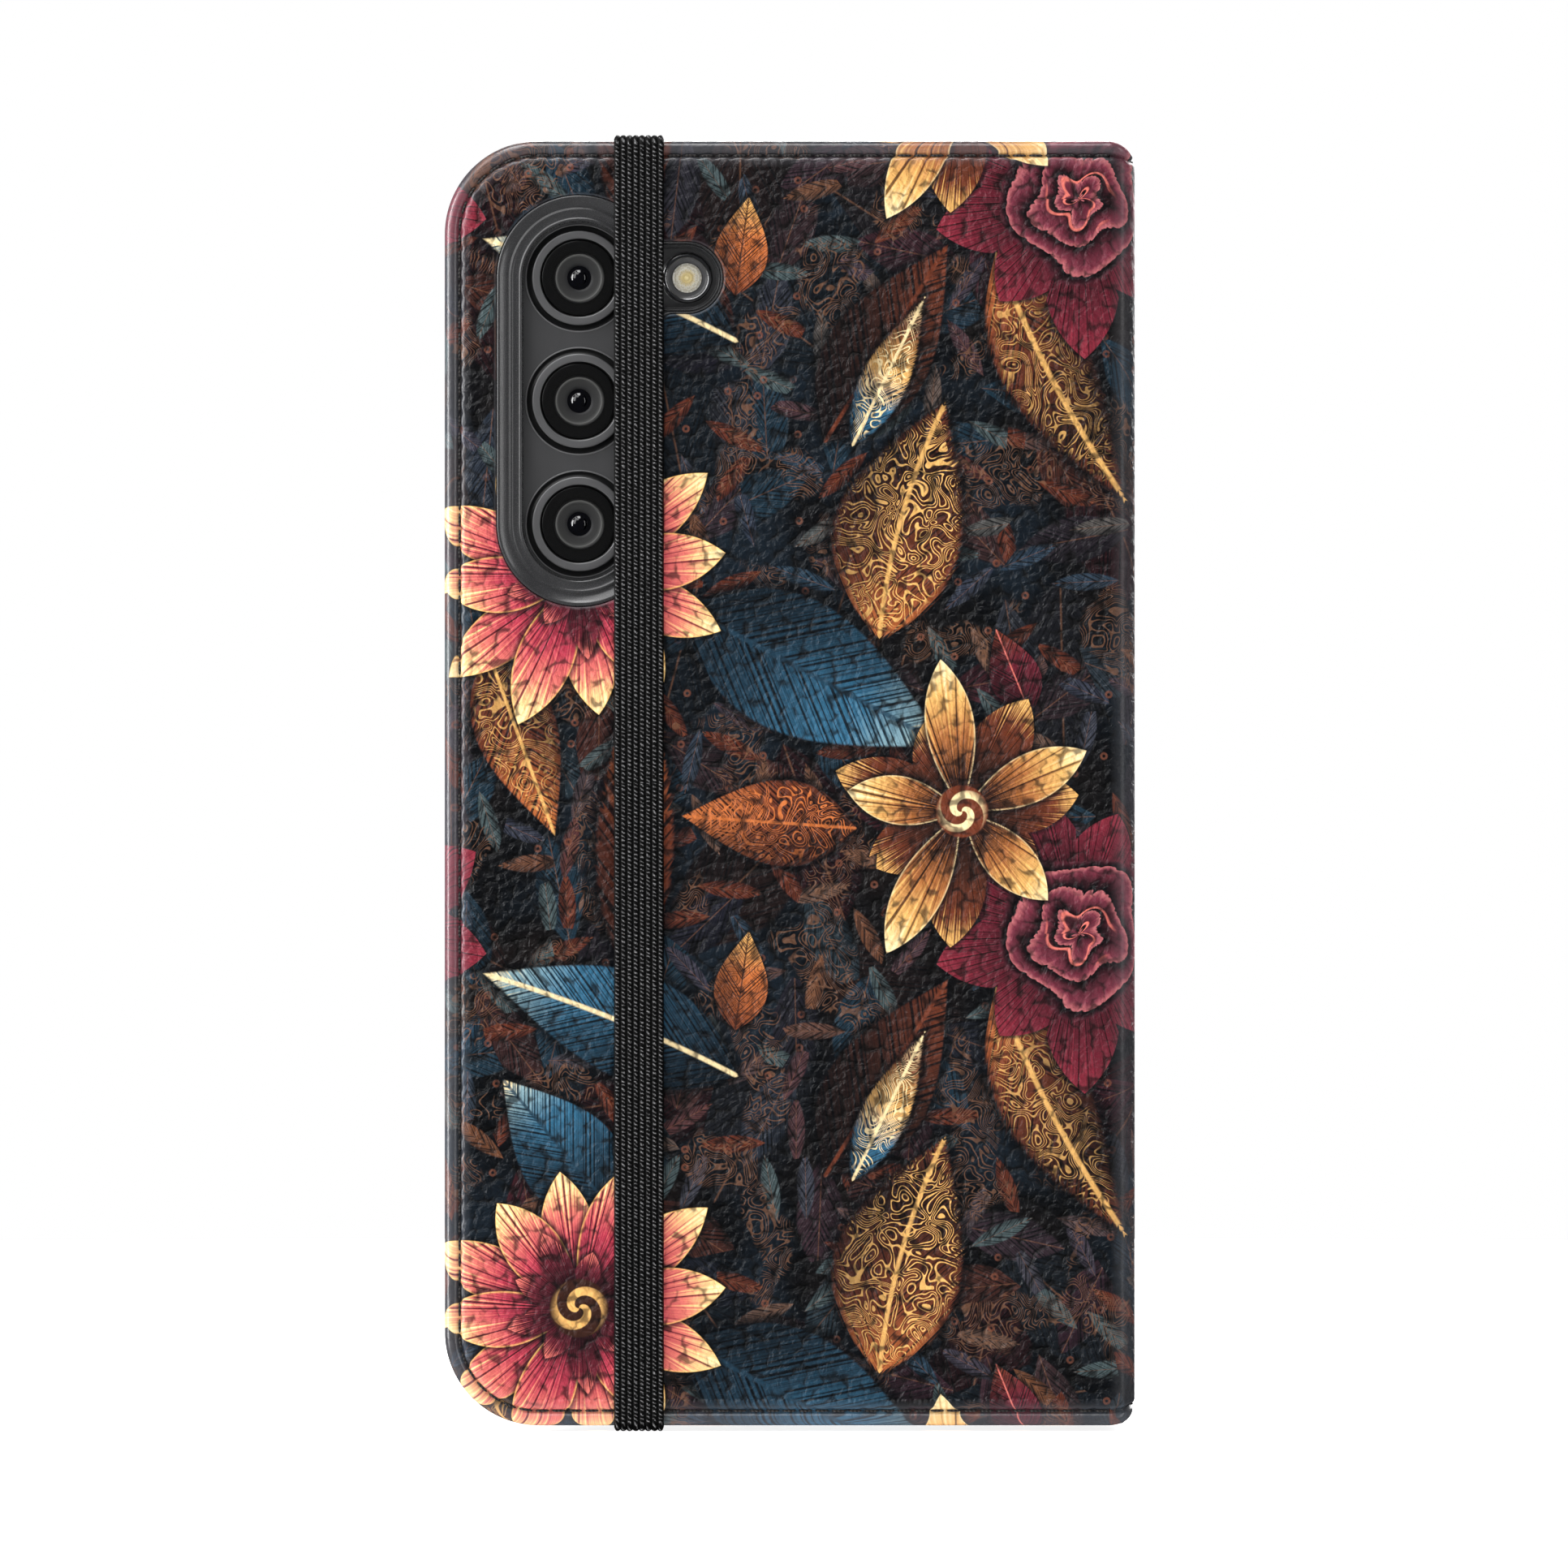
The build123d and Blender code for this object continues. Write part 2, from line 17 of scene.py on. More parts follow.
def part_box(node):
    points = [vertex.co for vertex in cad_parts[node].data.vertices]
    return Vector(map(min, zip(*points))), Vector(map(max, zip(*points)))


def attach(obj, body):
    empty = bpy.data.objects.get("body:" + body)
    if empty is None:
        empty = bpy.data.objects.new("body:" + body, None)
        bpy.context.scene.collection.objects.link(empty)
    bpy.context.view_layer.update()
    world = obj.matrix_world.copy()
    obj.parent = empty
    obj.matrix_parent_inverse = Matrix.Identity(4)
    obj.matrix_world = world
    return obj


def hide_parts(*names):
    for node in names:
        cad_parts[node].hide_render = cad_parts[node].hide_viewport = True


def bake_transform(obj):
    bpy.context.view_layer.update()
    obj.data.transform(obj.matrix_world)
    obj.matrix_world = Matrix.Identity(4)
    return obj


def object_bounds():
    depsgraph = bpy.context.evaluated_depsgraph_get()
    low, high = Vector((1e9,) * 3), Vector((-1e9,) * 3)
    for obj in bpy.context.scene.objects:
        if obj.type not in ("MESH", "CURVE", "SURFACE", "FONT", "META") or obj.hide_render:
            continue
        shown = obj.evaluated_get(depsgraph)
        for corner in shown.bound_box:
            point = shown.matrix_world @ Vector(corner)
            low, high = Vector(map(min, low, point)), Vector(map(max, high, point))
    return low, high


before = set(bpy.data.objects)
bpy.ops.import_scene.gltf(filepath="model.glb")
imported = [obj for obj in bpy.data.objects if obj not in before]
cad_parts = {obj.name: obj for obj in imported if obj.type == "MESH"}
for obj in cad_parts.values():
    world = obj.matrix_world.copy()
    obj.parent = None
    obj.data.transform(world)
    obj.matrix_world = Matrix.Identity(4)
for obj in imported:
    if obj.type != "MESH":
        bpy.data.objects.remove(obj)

cad_box = [list(corner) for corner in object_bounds()]

MM = 0.001


def span(node):
    """Lowest and highest corner of a CAD node."""
    low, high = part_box(node)
    return np.array(low) / MM, np.array(high) / MM


# ---- places taken from the frame ----

back_low, back_high = span("back_leather")
FREE_X, BACK_Y, BOTTOM_Z = back_low
FOLD_X, TOP_Z = back_high[0], back_high[2]
SPINE_X = span("spine_leather")[1][0]
FRONT_Y = span("front_leather")[1][1]
MIDDLE_Z = (BOTTOM_Z + TOP_Z) / 2
FOLD_RADIUS = SPINE_X - FOLD_X
THICKNESS = FRONT_Y - BACK_Y
lens_spans = {name: span("lens_cover_" + name) for name in ("upper", "middle", "lower")}
LENS_X = sum(corner[0] for corner in lens_spans["upper"]) / 2
LENS_Z = {name: (low[2] + high[2]) / 2 for name, (low, high) in lens_spans.items()}
FLASH_X = sum(corner[0] for corner in span("flash_lens")) / 2
strap_low, strap_high = span("elastic_strap")
STRAP_X = (strap_low[0] + strap_high[0]) / 2
PANEL = back_high[1] - BACK_Y

# ---- sizes shared with the CAD source ----

COVER_CORNER = 11.1
LEATHER = 0.9
LINING = 0.5
SEAM_INSET = 1.95
SPINE_SEAM_INSET = 2.6
STITCH_PITCH = 1.95
WINDOW_RADIUS = 9.8
WINDOW_LOBE = 4.25
FLOOR_LOBE = 3.55
BEZEL_WIDTH = 3.05
WINDOW_FILLET = 1.2
POCKET_LEAF = 0.4
POCKET_INSET = 1.2
POCKET_RIGHT = FOLD_X - 6.0
# each pocket's place in the stack and the height of its mouth
CARD_POCKETS = {
    "card_pocket_upper": (0, 120.0), "card_pocket_middle": (1, 106.0), "card_pocket_lower": (2, 92.0),
}
NOTCH_RADIUS = 16.0
NOTCH_SINK = 3.0
SIDE_NOTCH_RISE = 58.0
TILE = 87.1


# ---- colours ----


def ink(red, green, blue):
    """A printed colour given in screen values, as the shader wants it."""
    def linear(value):
        share = value / 255
        return share / 12.92 if share <= 0.04045 else ((share + 0.055) / 1.055) ** 2.4
    return (linear(red), linear(green), linear(blue), 1.0)


NIGHT = ink(4, 7, 12)
NAVY = ink(15, 27, 39)
TEAL = ink(24, 54, 72)
BLUE = ink(44, 98, 128)
PALE_BLUE = ink(122, 152, 160)
BROWN = ink(54, 27, 18)
RUST = ink(106, 48, 26)
ORANGE = ink(190, 104, 50)
GOLD = ink(222, 170, 96)
CREAM = ink(244, 218, 164)
ROSE = ink(172, 50, 70)
SALMON = ink(214, 110, 98)
YELLOW = ink(250, 198, 108)
STRAW = ink(244, 196, 132)
WINE = ink(104, 26, 42)
DARK_WINE = ink(42, 11, 20)


# ---- finishes ----


def operator(operation, swapped=False):
    """A Python operator on a varying value, as a Math node."""
    def apply(value, other):
        pair = (other, value) if swapped else (value, other)
        return value.finish.math(operation, *pair)
    return apply


class Value:
    """A number that varies over a surface; sums and products of it add Math nodes."""

    def __init__(self, finish, socket):
        self.finish, self.socket = finish, socket

    def __abs__(self):
        return self.finish.math("ABSOLUTE", self)

    __add__ = __radd__ = operator("ADD")
    __sub__ = operator("SUBTRACT")
    __rsub__ = operator("SUBTRACT", swapped=True)
    __mul__ = __rmul__ = operator("MULTIPLY")
    __truediv__ = operator("DIVIDE")


class Finish:
    """A material made of nodes, with the constants of its shader set on the shader."""

    def __init__(self, name, **constants):
        self.material = bpy.data.materials.new(name)
        self.material.use_nodes = True
        tree = self.material.node_tree
        self.nodes, self.links = tree.nodes, tree.links
        self.shader = self.nodes["Principled BSDF"]
        for socket, value in constants.items():
            self.shader.inputs[socket.replace("_", " ")].default_value = value

    def node(self, kind, settings=None, values=None, out=0):
        """Adds a node: its settings first, then the values or links of its sockets."""
        made = self.nodes.new(kind)
        for name, setting in (settings or {}).items():
            if name == "stops":
                self.set_stops(made.color_ramp, setting)
            else:
                setattr(made, name, setting)
        for name, value in (values or {}).items():
            self.feed(made.inputs[name], value)
        return Value(self, made.outputs[out])

    def set_stops(self, ramp, stops):
        """Gives a ramp its stops, each a place and a colour."""
        while len(ramp.elements) < len(stops):
            ramp.elements.new(1.0)
        for element, (place, colour) in zip(ramp.elements, stops):
            element.position = place
            element.color = colour

    def feed(self, socket, value):
        """Links a varying value to a socket, or sets a plain one on it."""
        if isinstance(value, Value):
            self.links.new(value.socket, socket)
        else:
            socket.default_value = value

    def math(self, operation, *values):
        return self.node("ShaderNodeMath", {"operation": operation}, dict(enumerate(values)))

    def vector(self, operation, *values, out=0):
        return self.node("ShaderNodeVectorMath", {"operation": operation}, dict(enumerate(values)), out)

    def mix(self, share, under, over, blend="MIX"):
        """Lays one colour over another by a share."""
        settings = {"data_type": "RGBA", "blend_type": blend}
        return self.node("ShaderNodeMix", settings, {0: share, 6: under, 7: over}, 2)

    def smooth(self, value, low, high, start=0.0, end=1.0):
        """Rises softly from start to end as a value goes from low to high."""
        settings = {"interpolation_type": "SMOOTHSTEP"}
        return self.node("ShaderNodeMapRange", settings, {0: value, 1: low, 2: high, 3: start, 4: end})

    def ramp(self, value, stops):
        return self.node("ShaderNodeValToRGB", {"stops": stops}, {"Fac": value})

    def noise(self, vector, scale, detail=1.0, distortion=0.0, dimensions="2D"):
        values = {"Vector": vector, "Scale": scale, "Detail": detail, "Distortion": distortion}
        return self.node("ShaderNodeTexNoise", {"noise_dimensions": dimensions}, values)

    def hair(self, place, scale, detail=1.0):
        """Uneven fine lines across one direction."""
        values = {"W": place, "Scale": scale, "Detail": detail}
        return self.node("ShaderNodeTexNoise", {"noise_dimensions": "1D"}, values)

    def join(self, x, y, z=0.0):
        return self.node("ShaderNodeCombineXYZ", {}, {0: x, 1: y, 2: z})

    def split(self, vector):
        """The x and y of a vector."""
        x = self.node("ShaderNodeSeparateXYZ", {}, {0: vector})
        return x, Value(self, x.socket.node.outputs[1])

    def map(self, name):
        """Where a point is on one of the mesh's maps."""
        return self.node("ShaderNodeUVMap", {"uv_map": name})

    def solid(self):
        """Where a point is in its own piece, in millimetres."""
        place = self.node("ShaderNodeTexCoord", {}, {}, "Object")
        return self.vector("MULTIPLY", place, (1 / MM,) * 3)

    def bump(self, height, distance, under=None):
        """Relief of a height between 0 and 1, as deep as the distance in millimetres."""
        values = {"Height": height, "Distance": distance * MM, "Strength": 1.0}
        if under is not None:
            values["Normal"] = under
        return self.node("ShaderNodeBump", {}, values)

    def finish(self, **values):
        """Links what varies over the surface to the shader."""
        for socket, value in values.items():
            self.links.new(value.socket, self.shader.inputs[socket.replace("_", " ")])
        return self.material


# ---- print on the leather ----


class Drawing:
    """The floral print, painted motif over motif on the flat sheet."""

    def __init__(self, finish):
        self.finish = finish
        self.sheet = finish.vector("ADD", finish.map("sheet"), (0, 0, 0))
        self.curl = self.filigree()
        self.colour = None

    def filigree(self):
        """Share of engraved curls, the same lines wherever a motif shows them."""
        f = self.finish
        swirl = f.noise(self.sheet, 0.27, 0.0, 1.3)
        bands = f.math("PINGPONG", swirl * 9, 0.5)
        return f.smooth(bands, 0.10, 0.19, 1.0, 0.0)

    def place(self, at, turn, size):
        """The sheet seen from a motif that comes once in each tile: its x runs along it."""
        f, half = self.finish, TILE / 2
        high = (at[0] + half, at[1] + half, 1)
        low = (at[0] - half, at[1] - half, -1)
        wrapped = f.vector("WRAP", self.sheet, high, low)
        values = {
            "Vector": wrapped,
            "Location": (at[0], at[1], 0),
            "Rotation": (0, 0, math.radians(turn)),
            "Scale": (size, size, size),
        }
        return f.node("ShaderNodeMapping", {"vector_type": "TEXTURE"}, values)

    def lay(self, share, colour, blend="MIX"):
        """Paints a colour over what is there by a share."""
        self.colour = self.finish.mix(share, self.colour, colour, blend)

    def ground(self):
        """Near-black ground with soft clouds of blue and brown."""
        f = self.finish
        cloud = f.noise(self.sheet, 0.05, 2.0)
        stops = [(0.3, ink(17, 12, 12)), (0.46, NIGHT), (0.62, ink(12, 24, 34))]
        self.colour = f.ramp(cloud, stops)

    def scatter(self, shift, scale, *outs):
        """The sheet moved along, and what its cells say at each point."""
        f = self.finish
        moved = f.vector("ADD", self.sheet, (*shift, 0))
        values = {"Vector": moved, "Scale": scale}
        cell = f.node("ShaderNodeTexVoronoi", {"voronoi_dimensions": "2D"}, values)
        return moved, *(Value(f, cell.socket.node.outputs[name]) for name in outs)

    def scattered_leaves(self, scale, stops, width, seed):
        """Leaves thrown over the ground, each with its own turn and tone."""
        f = self.finish
        shifted, chance, centre = self.scatter((seed * 13.7, seed * 5.3), scale, "Color", "Position")
        pick, turn = f.split(chance)
        away = f.vector("SUBTRACT", shifted, centre)
        turned = {"Vector": away, "Angle": turn * 6.3}
        along = f.node("ShaderNodeVectorRotate", {"rotation_type": "Z_AXIS"}, turned)
        x, y = f.split(along)
        x = x * (scale * 0.8) + 0.5
        y = y * scale
        side = abs(y)
        inside = x * (1 - x) * (4 * width) - side
        veins = f.hair(x * (1.5 / scale) - side * (2.2 / scale), 1.6, 1.0)
        tone = f.mix(f.smooth(veins, 0.54, 0.38, 0.0, 0.85), f.ramp(pick, stops), NIGHT)
        tone = f.mix(f.smooth(y, 0.0, width, 0.0, 0.6), tone, NIGHT)
        tone = f.mix(f.smooth(side, 0.011, 0.0, 0.0, 0.35), tone, ink(128, 84, 56))
        self.lay(f.smooth(inside, 0.0, 0.03), tone)

    def leaf(self, at, turn, length, width, stops, vein, lean=1.2, curls=0.0, skew=0.0, line=CREAM,
             ragged=0.0):
        """A leaf or a feather from its stem along x, with barbs, a rib and a fine outline."""
        f = self.finish
        x, y = f.split(self.place(at, turn, length))
        bend = y + x * (1 - x) * skew
        side = abs(bend)
        barbs = f.hair(x * vein - side * (vein * lean), 1.0)
        half = x * (1 - x) * (4 * width) * (1.4 - 0.8 * f.math("MINIMUM", x, 1.0))
        inside = half - side - (barbs * ragged if ragged else 0.0)
        tone = f.ramp(x + (barbs - 0.5) * 0.3, stops)
        tone = f.mix(f.smooth(barbs, 0.52, 0.36, 0.0, 0.85), tone, NIGHT)
        if curls:
            lines = self.curl * f.smooth(inside, 0.01, 0.05, 0.0, curls)
            tone = f.mix(lines, tone, line)
        tone = f.mix(f.smooth(bend, -width * 0.3, width * 0.7, 0.0, 0.6), tone, NIGHT)
        tone = f.mix(f.smooth(side, 0.004, 0.012, 0.8, 0.0), tone, line)
        self.lay(f.smooth(inside, -0.05, 0.0, 0.0, 0.8), NIGHT)
        self.lay(f.smooth(inside, 0.0, 0.012), tone)

    def petals(self, rays, count, phase, reach, width, stops, streaks, vary=0.1, edge=None):
        """A ring of pointed petals; their tips are uneven in reach."""
        f, (angle, radius) = self.finish, rays
        turned = angle * (count / math.tau) + phase
        index = f.math("ROUND", turned)
        uneven = f.math("SINE", index * 2.4) * vary + 1.0
        x = radius / (uneven * reach)
        side = abs(turned - index) * (math.tau / count) * radius
        half = x * (1 - x * x) * (2.6 * width)
        inside = half - side
        fine = f.hair((turned - index) * (streaks * 12) + index * 7.0 + x, 1.0)
        tone = f.ramp(x + (fine - 0.5) * 0.6, stops)
        tone = f.mix(f.smooth(fine, 0.42, 0.30, 0.0, 0.75), tone, DARK_WINE, "MULTIPLY")
        if edge is not None:
            tone = f.mix(f.smooth(inside, 0.0, width * 0.11, 0.75, 0.0), tone, edge)
        self.lay(f.smooth(inside, -0.9, 0.0) * 0.75, NIGHT)
        self.lay(f.smooth(inside, 0.0, 0.14), tone)

    def rays(self, at, turn):
        """Angle and distance from the middle of a flower."""
        f = self.finish
        local = self.place(at, turn, 1.0)
        x, y = f.split(local)
        angle = f.math("ARCTAN2", y, x)
        return angle, f.vector("LENGTH", local, out="Value")

    def bud(self, rays, size, light, dark):
        """Wound centre of a flower."""
        f, (angle, radius) = self.finish, rays
        wound = f.math("SINE", radius * (9.5 / size) + angle * 2.0)
        tone = f.mix(f.smooth(wound, -0.1, 0.35), dark, light)
        tone = f.mix(f.smooth(radius, size * 0.55, size), tone, dark)
        self.lay(f.smooth(radius, size, size * 0.93), tone)

    def star_flower(self):
        """Rose-red flower with yellow tips and a golden middle."""
        rays = self.rays((-25.0, 14.6), 8)
        rose = [(0.0, DARK_WINE), (0.3, WINE), (0.5, ROSE), (0.72, SALMON), (0.88, STRAW), (1.0, CREAM)]
        self.petals(rays, 6, 0.5, 18.2, 3.3, rose, 3.2, edge=YELLOW)
        self.petals(rays, 6, 0.0, 17.6, 3.5, rose, 3.2, edge=YELLOW)
        inner = [(0.0, NIGHT), (0.4, DARK_WINE), (0.8, WINE), (1.0, SALMON)]
        self.petals(rays, 9, 0.3, 8.6, 1.7, inner, 3.0, vary=0.2)
        self.bud(rays, 3.6, GOLD, BROWN)

    def gold_flower(self):
        """Five long gold petals over soft brown sepals."""
        rays = self.rays((20.4, 73.5), 26)
        brown = [(0.0, NIGHT), (0.4, BROWN), (0.8, RUST), (1.0, GOLD)]
        self.petals(rays, 7, 0.35, 14.0, 3.8, brown, 4.5, vary=0.16)
        gold = [(0.0, NIGHT), (0.25, BROWN), (0.5, ink(160, 96, 48)), (0.78, GOLD), (1.0, CREAM)]
        self.petals(rays, 5, 0.0, 16.5, 3.0, gold, 2.6, vary=0.16, edge=CREAM)
        self.lay(self.curl * self.finish.smooth(rays[1], 9.0, 3.0, 0.0, 0.8), BROWN)
        self.bud(rays, 3.2, CREAM, RUST)

    def wine_rose(self):
        """Full dark rose: rolled rings of petals over pointed ones."""
        f = self.finish
        rays = angle, radius = self.rays((34.3, 59.0), 0)
        dark = [(0.0, NIGHT), (0.4, DARK_WINE), (0.8, WINE), (1.0, ink(128, 34, 50))]
        self.petals(rays, 9, 0.2, 17.0, 4.6, dark, 3.4, vary=0.12)
        wavy = radius + f.math("SINE", angle * 5.0) * 0.55
        wavy = wavy + f.math("SINE", angle * 3.0 + radius) * 0.45
        rolls = f.math("FRACT", wavy * 0.36)
        fine = f.hair(angle * 9.0 + radius * 0.5, 1.0)
        pale, dim = ink(170, 92, 96), ink(112, 42, 58)
        rolled = [(0.0, NIGHT), (0.2, DARK_WINE), (0.72, dim), (0.95, pale), (1.0, NIGHT)]
        tone = f.ramp(rolls + (fine - 0.5) * 0.3, rolled)
        self.lay(f.smooth(wavy, 9.6, 9.2), tone)
        heart = f.smooth(f.math("PINGPONG", rolls + angle * 0.3, 0.5), 0.40, 0.47)
        self.lay(heart * f.smooth(radius, 4.6, 3.4), SALMON)

    def berries(self, scale, colour):
        """Loose small rings."""
        f = self.finish
        _, distance, chance = self.scatter((7.1, 3.9), scale, "Distance", "Color")
        pick, _ = f.split(chance)
        ring = abs(distance - 0.07)
        self.lay(f.smooth(ring, 0.045, 0.015, 0.0, 0.55) * f.smooth(pick, 0.62, 0.7), colour)

    def paint(self):
        """The whole print, from the ground up."""
        f = self.finish
        self.ground()
        for seed, (scale, width, stops) in enumerate(LEAF_LITTER, 1):
            self.scattered_leaves(scale, stops, width, seed)
        patch = f.smooth(f.noise(self.sheet, 0.11, 1.0), 0.55, 0.61, 0.0, 0.6)
        self.lay(self.curl * patch, ink(112, 76, 54))
        self.berries(0.22, ink(118, 66, 46))
        for *shape, detail in LEAVES:
            self.leaf(*shape, **detail)
        self.wine_rose()
        self.gold_flower()
        self.star_flower()
        return self.colour


# how many to the millimetre, width and tones of the leaves thrown over the ground
LEAF_LITTER = [
    (0.055, 0.34, [(0.2, ink(10, 20, 28)), (0.4, ink(30, 15, 12)), (0.6, ink(13, 24, 32)),
                   (0.8, ink(34, 11, 16))]),
    (0.09, 0.26, [(0.2, ink(20, 44, 58)), (0.4, ink(66, 30, 18)), (0.55, NAVY), (0.7, ink(58, 17, 25)),
                  (0.9, ink(30, 44, 52))]),
    (0.15, 0.17, [(0.2, ink(88, 38, 22)), (0.4, TEAL), (0.6, ink(98, 58, 34)), (0.8, ink(62, 76, 78))]),
]
DEEP = [(0.0, NIGHT), (0.35, TEAL), (0.7, BLUE), (0.9, PALE_BLUE), (1.0, CREAM)]
BARN = [(0.0, BROWN), (0.5, RUST), (1.0, ORANGE)]
DUSK = [(0.0, NIGHT), (0.5, BROWN), (1.0, RUST)]
VEIN = [(0.0, DARK_WINE), (0.6, WINE), (1.0, RUST)]
AMBER = [(0.0, RUST), (0.6, ORANGE), (1.0, GOLD)]
PLUME = [(0.0, ORANGE), (0.3, RUST), (0.7, ink(44, 21, 14)), (1.0, RUST)]
MIXED = [(0.0, NAVY), (0.3, BLUE), (0.5, GOLD), (0.75, RUST), (1.0, CREAM)]
# a leaf's stem on the sheet, turn, length, width to length, tones, barbs, and what sets it apart
LEAVES = [
    ((4.0, 30.0), 58, 28, 0.22, DUSK, 46, {"line": RUST}),
    ((-13.0, 98.0), -28, 36, 0.22, DEEP, 60, {"line": TEAL}),
    ((-20.0, 25.0), 130, 22, 0.26, DEEP, 56, {"line": TEAL}),
    ((-6.0, 42.0), 158, 33, 0.19, DEEP, 66, {"lean": 1.5, "skew": 0.1}),
    ((-19.0, 52.0), 88, 42, 0.13, BARN, 34, {"lean": 1.3, "line": BROWN, "ragged": 0.04}),
    ((-36.0, 93.0), -70, 24, 0.2, BARN, 44, {"curls": 0.6, "line": GOLD}),
    ((7.0, 116.0), 64, 22, 0.15, MIXED, 52, {"curls": 0.9, "ragged": 0.05}),
    ((10.5, 93.0), 74, 32, 0.27, PLUME, 62,
     {"lean": 1.5, "curls": 1.0, "skew": -0.2, "line": GOLD, "ragged": 0.07}),
    ((24.0, 141.0), -62, 37, 0.17, PLUME, 60,
     {"lean": 1.4, "curls": 0.6, "skew": 0.15, "line": GOLD, "ragged": 0.05}),
    ((8.0, 71.5), 176, 21, 0.24, BARN, 52, {"curls": 1.0, "line": ORANGE}),
    ((-6.5, 47.5), 82, 12, 0.26, AMBER, 44, {"curls": 0.6, "line": BROWN}),
    ((28.5, 85.0), 112, 11, 0.27, VEIN, 40, {"line": SALMON}),
]


def leather_grain(f, place):
    """Height of the pebbled grain, with fine creased grooves between the pebbles."""
    flat = {"noise_dimensions": "2D"}
    drift = f.node("ShaderNodeTexNoise", flat, {"Vector": place, "Scale": 0.5}, "Color")
    bent = f.vector("MULTIPLY_ADD", drift, (1.3, 1.3, 0), place)
    soft = {"voronoi_dimensions": "2D", "feature": "SMOOTH_F1"}
    cells = f.node("ShaderNodeTexVoronoi", soft, {"Vector": bent, "Scale": 0.85, "Smoothness": 0.25})
    pores = f.noise(bent, 3.2, 2.0)
    return (1 - cells) + pores * 0.35, cells


def printed_leather():
    """Printed, pebbled leather with a soft protective coat, painted shade in its creases and a pale painted
    highlight on its glossy edges.
    """
    f = Finish("printed_leather", Coat_Roughness=0.28, Specular_IOR_Level=0.2)
    drawing = Drawing(f)
    colour = drawing.paint()
    height, cells = leather_grain(f, drawing.sheet)
    rubbed = f.node("ShaderNodeAttribute", {"attribute_name": "rubbed"}, {}, "Fac")
    # painted shade: black laid into the creases between the pebbles, less on the glossy edges
    crease_shade = f.smooth(cells, 0.48, 0.80, 0.0, 0.72) * (1 - rubbed)
    colour = f.mix(crease_shade, colour, (0.0, 0.0, 0.0, 1.0))
    # painted highlight: pale grey laid over the glossy edges, fold crests and window rim, where they would
    # catch the light
    colour = f.mix(rubbed * 0.10, colour, ink(176, 176, 184))
    return f.finish(
        Base_Color=colour,
        Roughness=f.smooth(cells, 0.2, 0.8, 0.40, 0.56) - rubbed * 0.16,
        Coat_Weight=rubbed * 0.8 + 0.02,
        Normal=f.bump(height * (1 - rubbed * 0.75), 0.36),
    )


def pocket_leatherette():
    """Plain dark leatherette with the same pebbles, smaller."""
    f = Finish("pocket_leather", Specular_IOR_Level=0.4)
    place = f.vector("MULTIPLY", f.map("sheet"), (1.3,) * 3)
    height, cells = leather_grain(f, place)
    worn = f.noise(place, 0.08, 2.0)
    base = ink(38, 37, 38)
    light = (*(part * 1.6 for part in base[:3]), 1)
    return f.finish(
        Base_Color=f.mix(f.smooth(worn, 0.35, 0.7), base, light),
        Roughness=f.smooth(cells, 0.2, 0.8, 0.42, 0.6),
        Normal=f.bump(height, 0.07),
    )


def brushed_lining():
    """Microfibre: short nap that lies a little different from place to place."""
    f = Finish("microfibre", Sheen_Weight=0.35, Sheen_Roughness=0.5, Specular_IOR_Level=0.2)
    place = f.map("sheet")
    nap = f.noise(place, 9.0, 2.0)
    stroke = f.noise(f.vector("MULTIPLY", place, (0.05, 0.2, 1)), 1.0, 2.0)
    colour = f.mix(f.smooth(stroke, 0.35, 0.65), ink(58, 56, 56), ink(74, 72, 71))
    colour = f.mix(nap * 0.4, colour, ink(40, 39, 39))
    return f.finish(Base_Color=colour, Roughness=nap * 0.15 + 0.8, Normal=f.bump(nap, 0.05))


def sewing_thread():
    """Twisted thread: two plies that wind round it."""
    f = Finish("thread", Sheen_Weight=0.2, Specular_IOR_Level=0.3)
    along, around = f.split(f.map("sheet"))
    ply = f.math("SINE", along * 14.0 + around * math.tau)
    fluff = f.noise(f.map("sheet"), 12.0, 1.0)
    colour = f.mix(f.smooth(ply, -0.6, 0.8), ink(12, 10, 10), ink(44, 40, 39))
    return f.finish(Base_Color=colour, Roughness=fluff * 0.3 + 0.55, Normal=f.bump(ply, 0.04))


def moulded_plastic(name, base, light, rough, coat=0.0):
    """Moulded plastic with a fine eroded texture and faint flow marks."""
    f = Finish(name, Coat_Weight=coat, Coat_Roughness=0.25, Specular_IOR_Level=0.5)
    place = f.solid()
    fine = f.noise(place, 11.0, 2.0, 0.0, "3D")
    flow = f.noise(f.vector("MULTIPLY", place, (0.25, 0.25, 0.06)), 1.0, 2.0, 0.4, "3D")
    colour = f.mix(f.smooth(flow, 0.3, 0.7, 0.0, 0.5), base, light)
    colour = f.mix(fine * 0.15, colour, light)
    return f.finish(
        Base_Color=colour,
        Roughness=fine * 0.14 + (rough - 0.07),
        Normal=f.bump(fine, 0.012),
    )


def lens_ring_metal():
    """Anodised ring: satin grey on top, with painted shade, near black, in the gap round it."""
    f = Finish("grey_ring", Specular_IOR_Level=0.5)
    turn, radius = f.split(f.map("sheet"))
    spun = f.hair(radius, 26.0, 2.0)
    top = f.mix(spun * 0.5, ink(98, 98, 99), ink(122, 122, 123))
    # painted shade: the ring's outer wall and the floor round it, up to the lip, are near black
    gap = f.smooth(radius, 5.56, 5.61)
    outer = f.smooth(radius, 6.22, 6.27)
    colour = f.mix(gap, top, ink(2, 2, 2))
    colour = f.mix(outer, colour, ink(84, 84, 85))
    inner = f.smooth(radius, 4.72, 4.66)
    colour = f.mix(inner, colour, ink(8, 8, 8))
    smudge = f.noise(f.join(turn * 6.0, radius), 1.0, 1.0)
    return f.finish(
        Base_Color=colour,
        Metallic=(1 - gap) * (1 - inner) * 0.6,
        Roughness=smudge * 0.12 + 0.34,
        Normal=f.bump(spun, 0.006),
    )


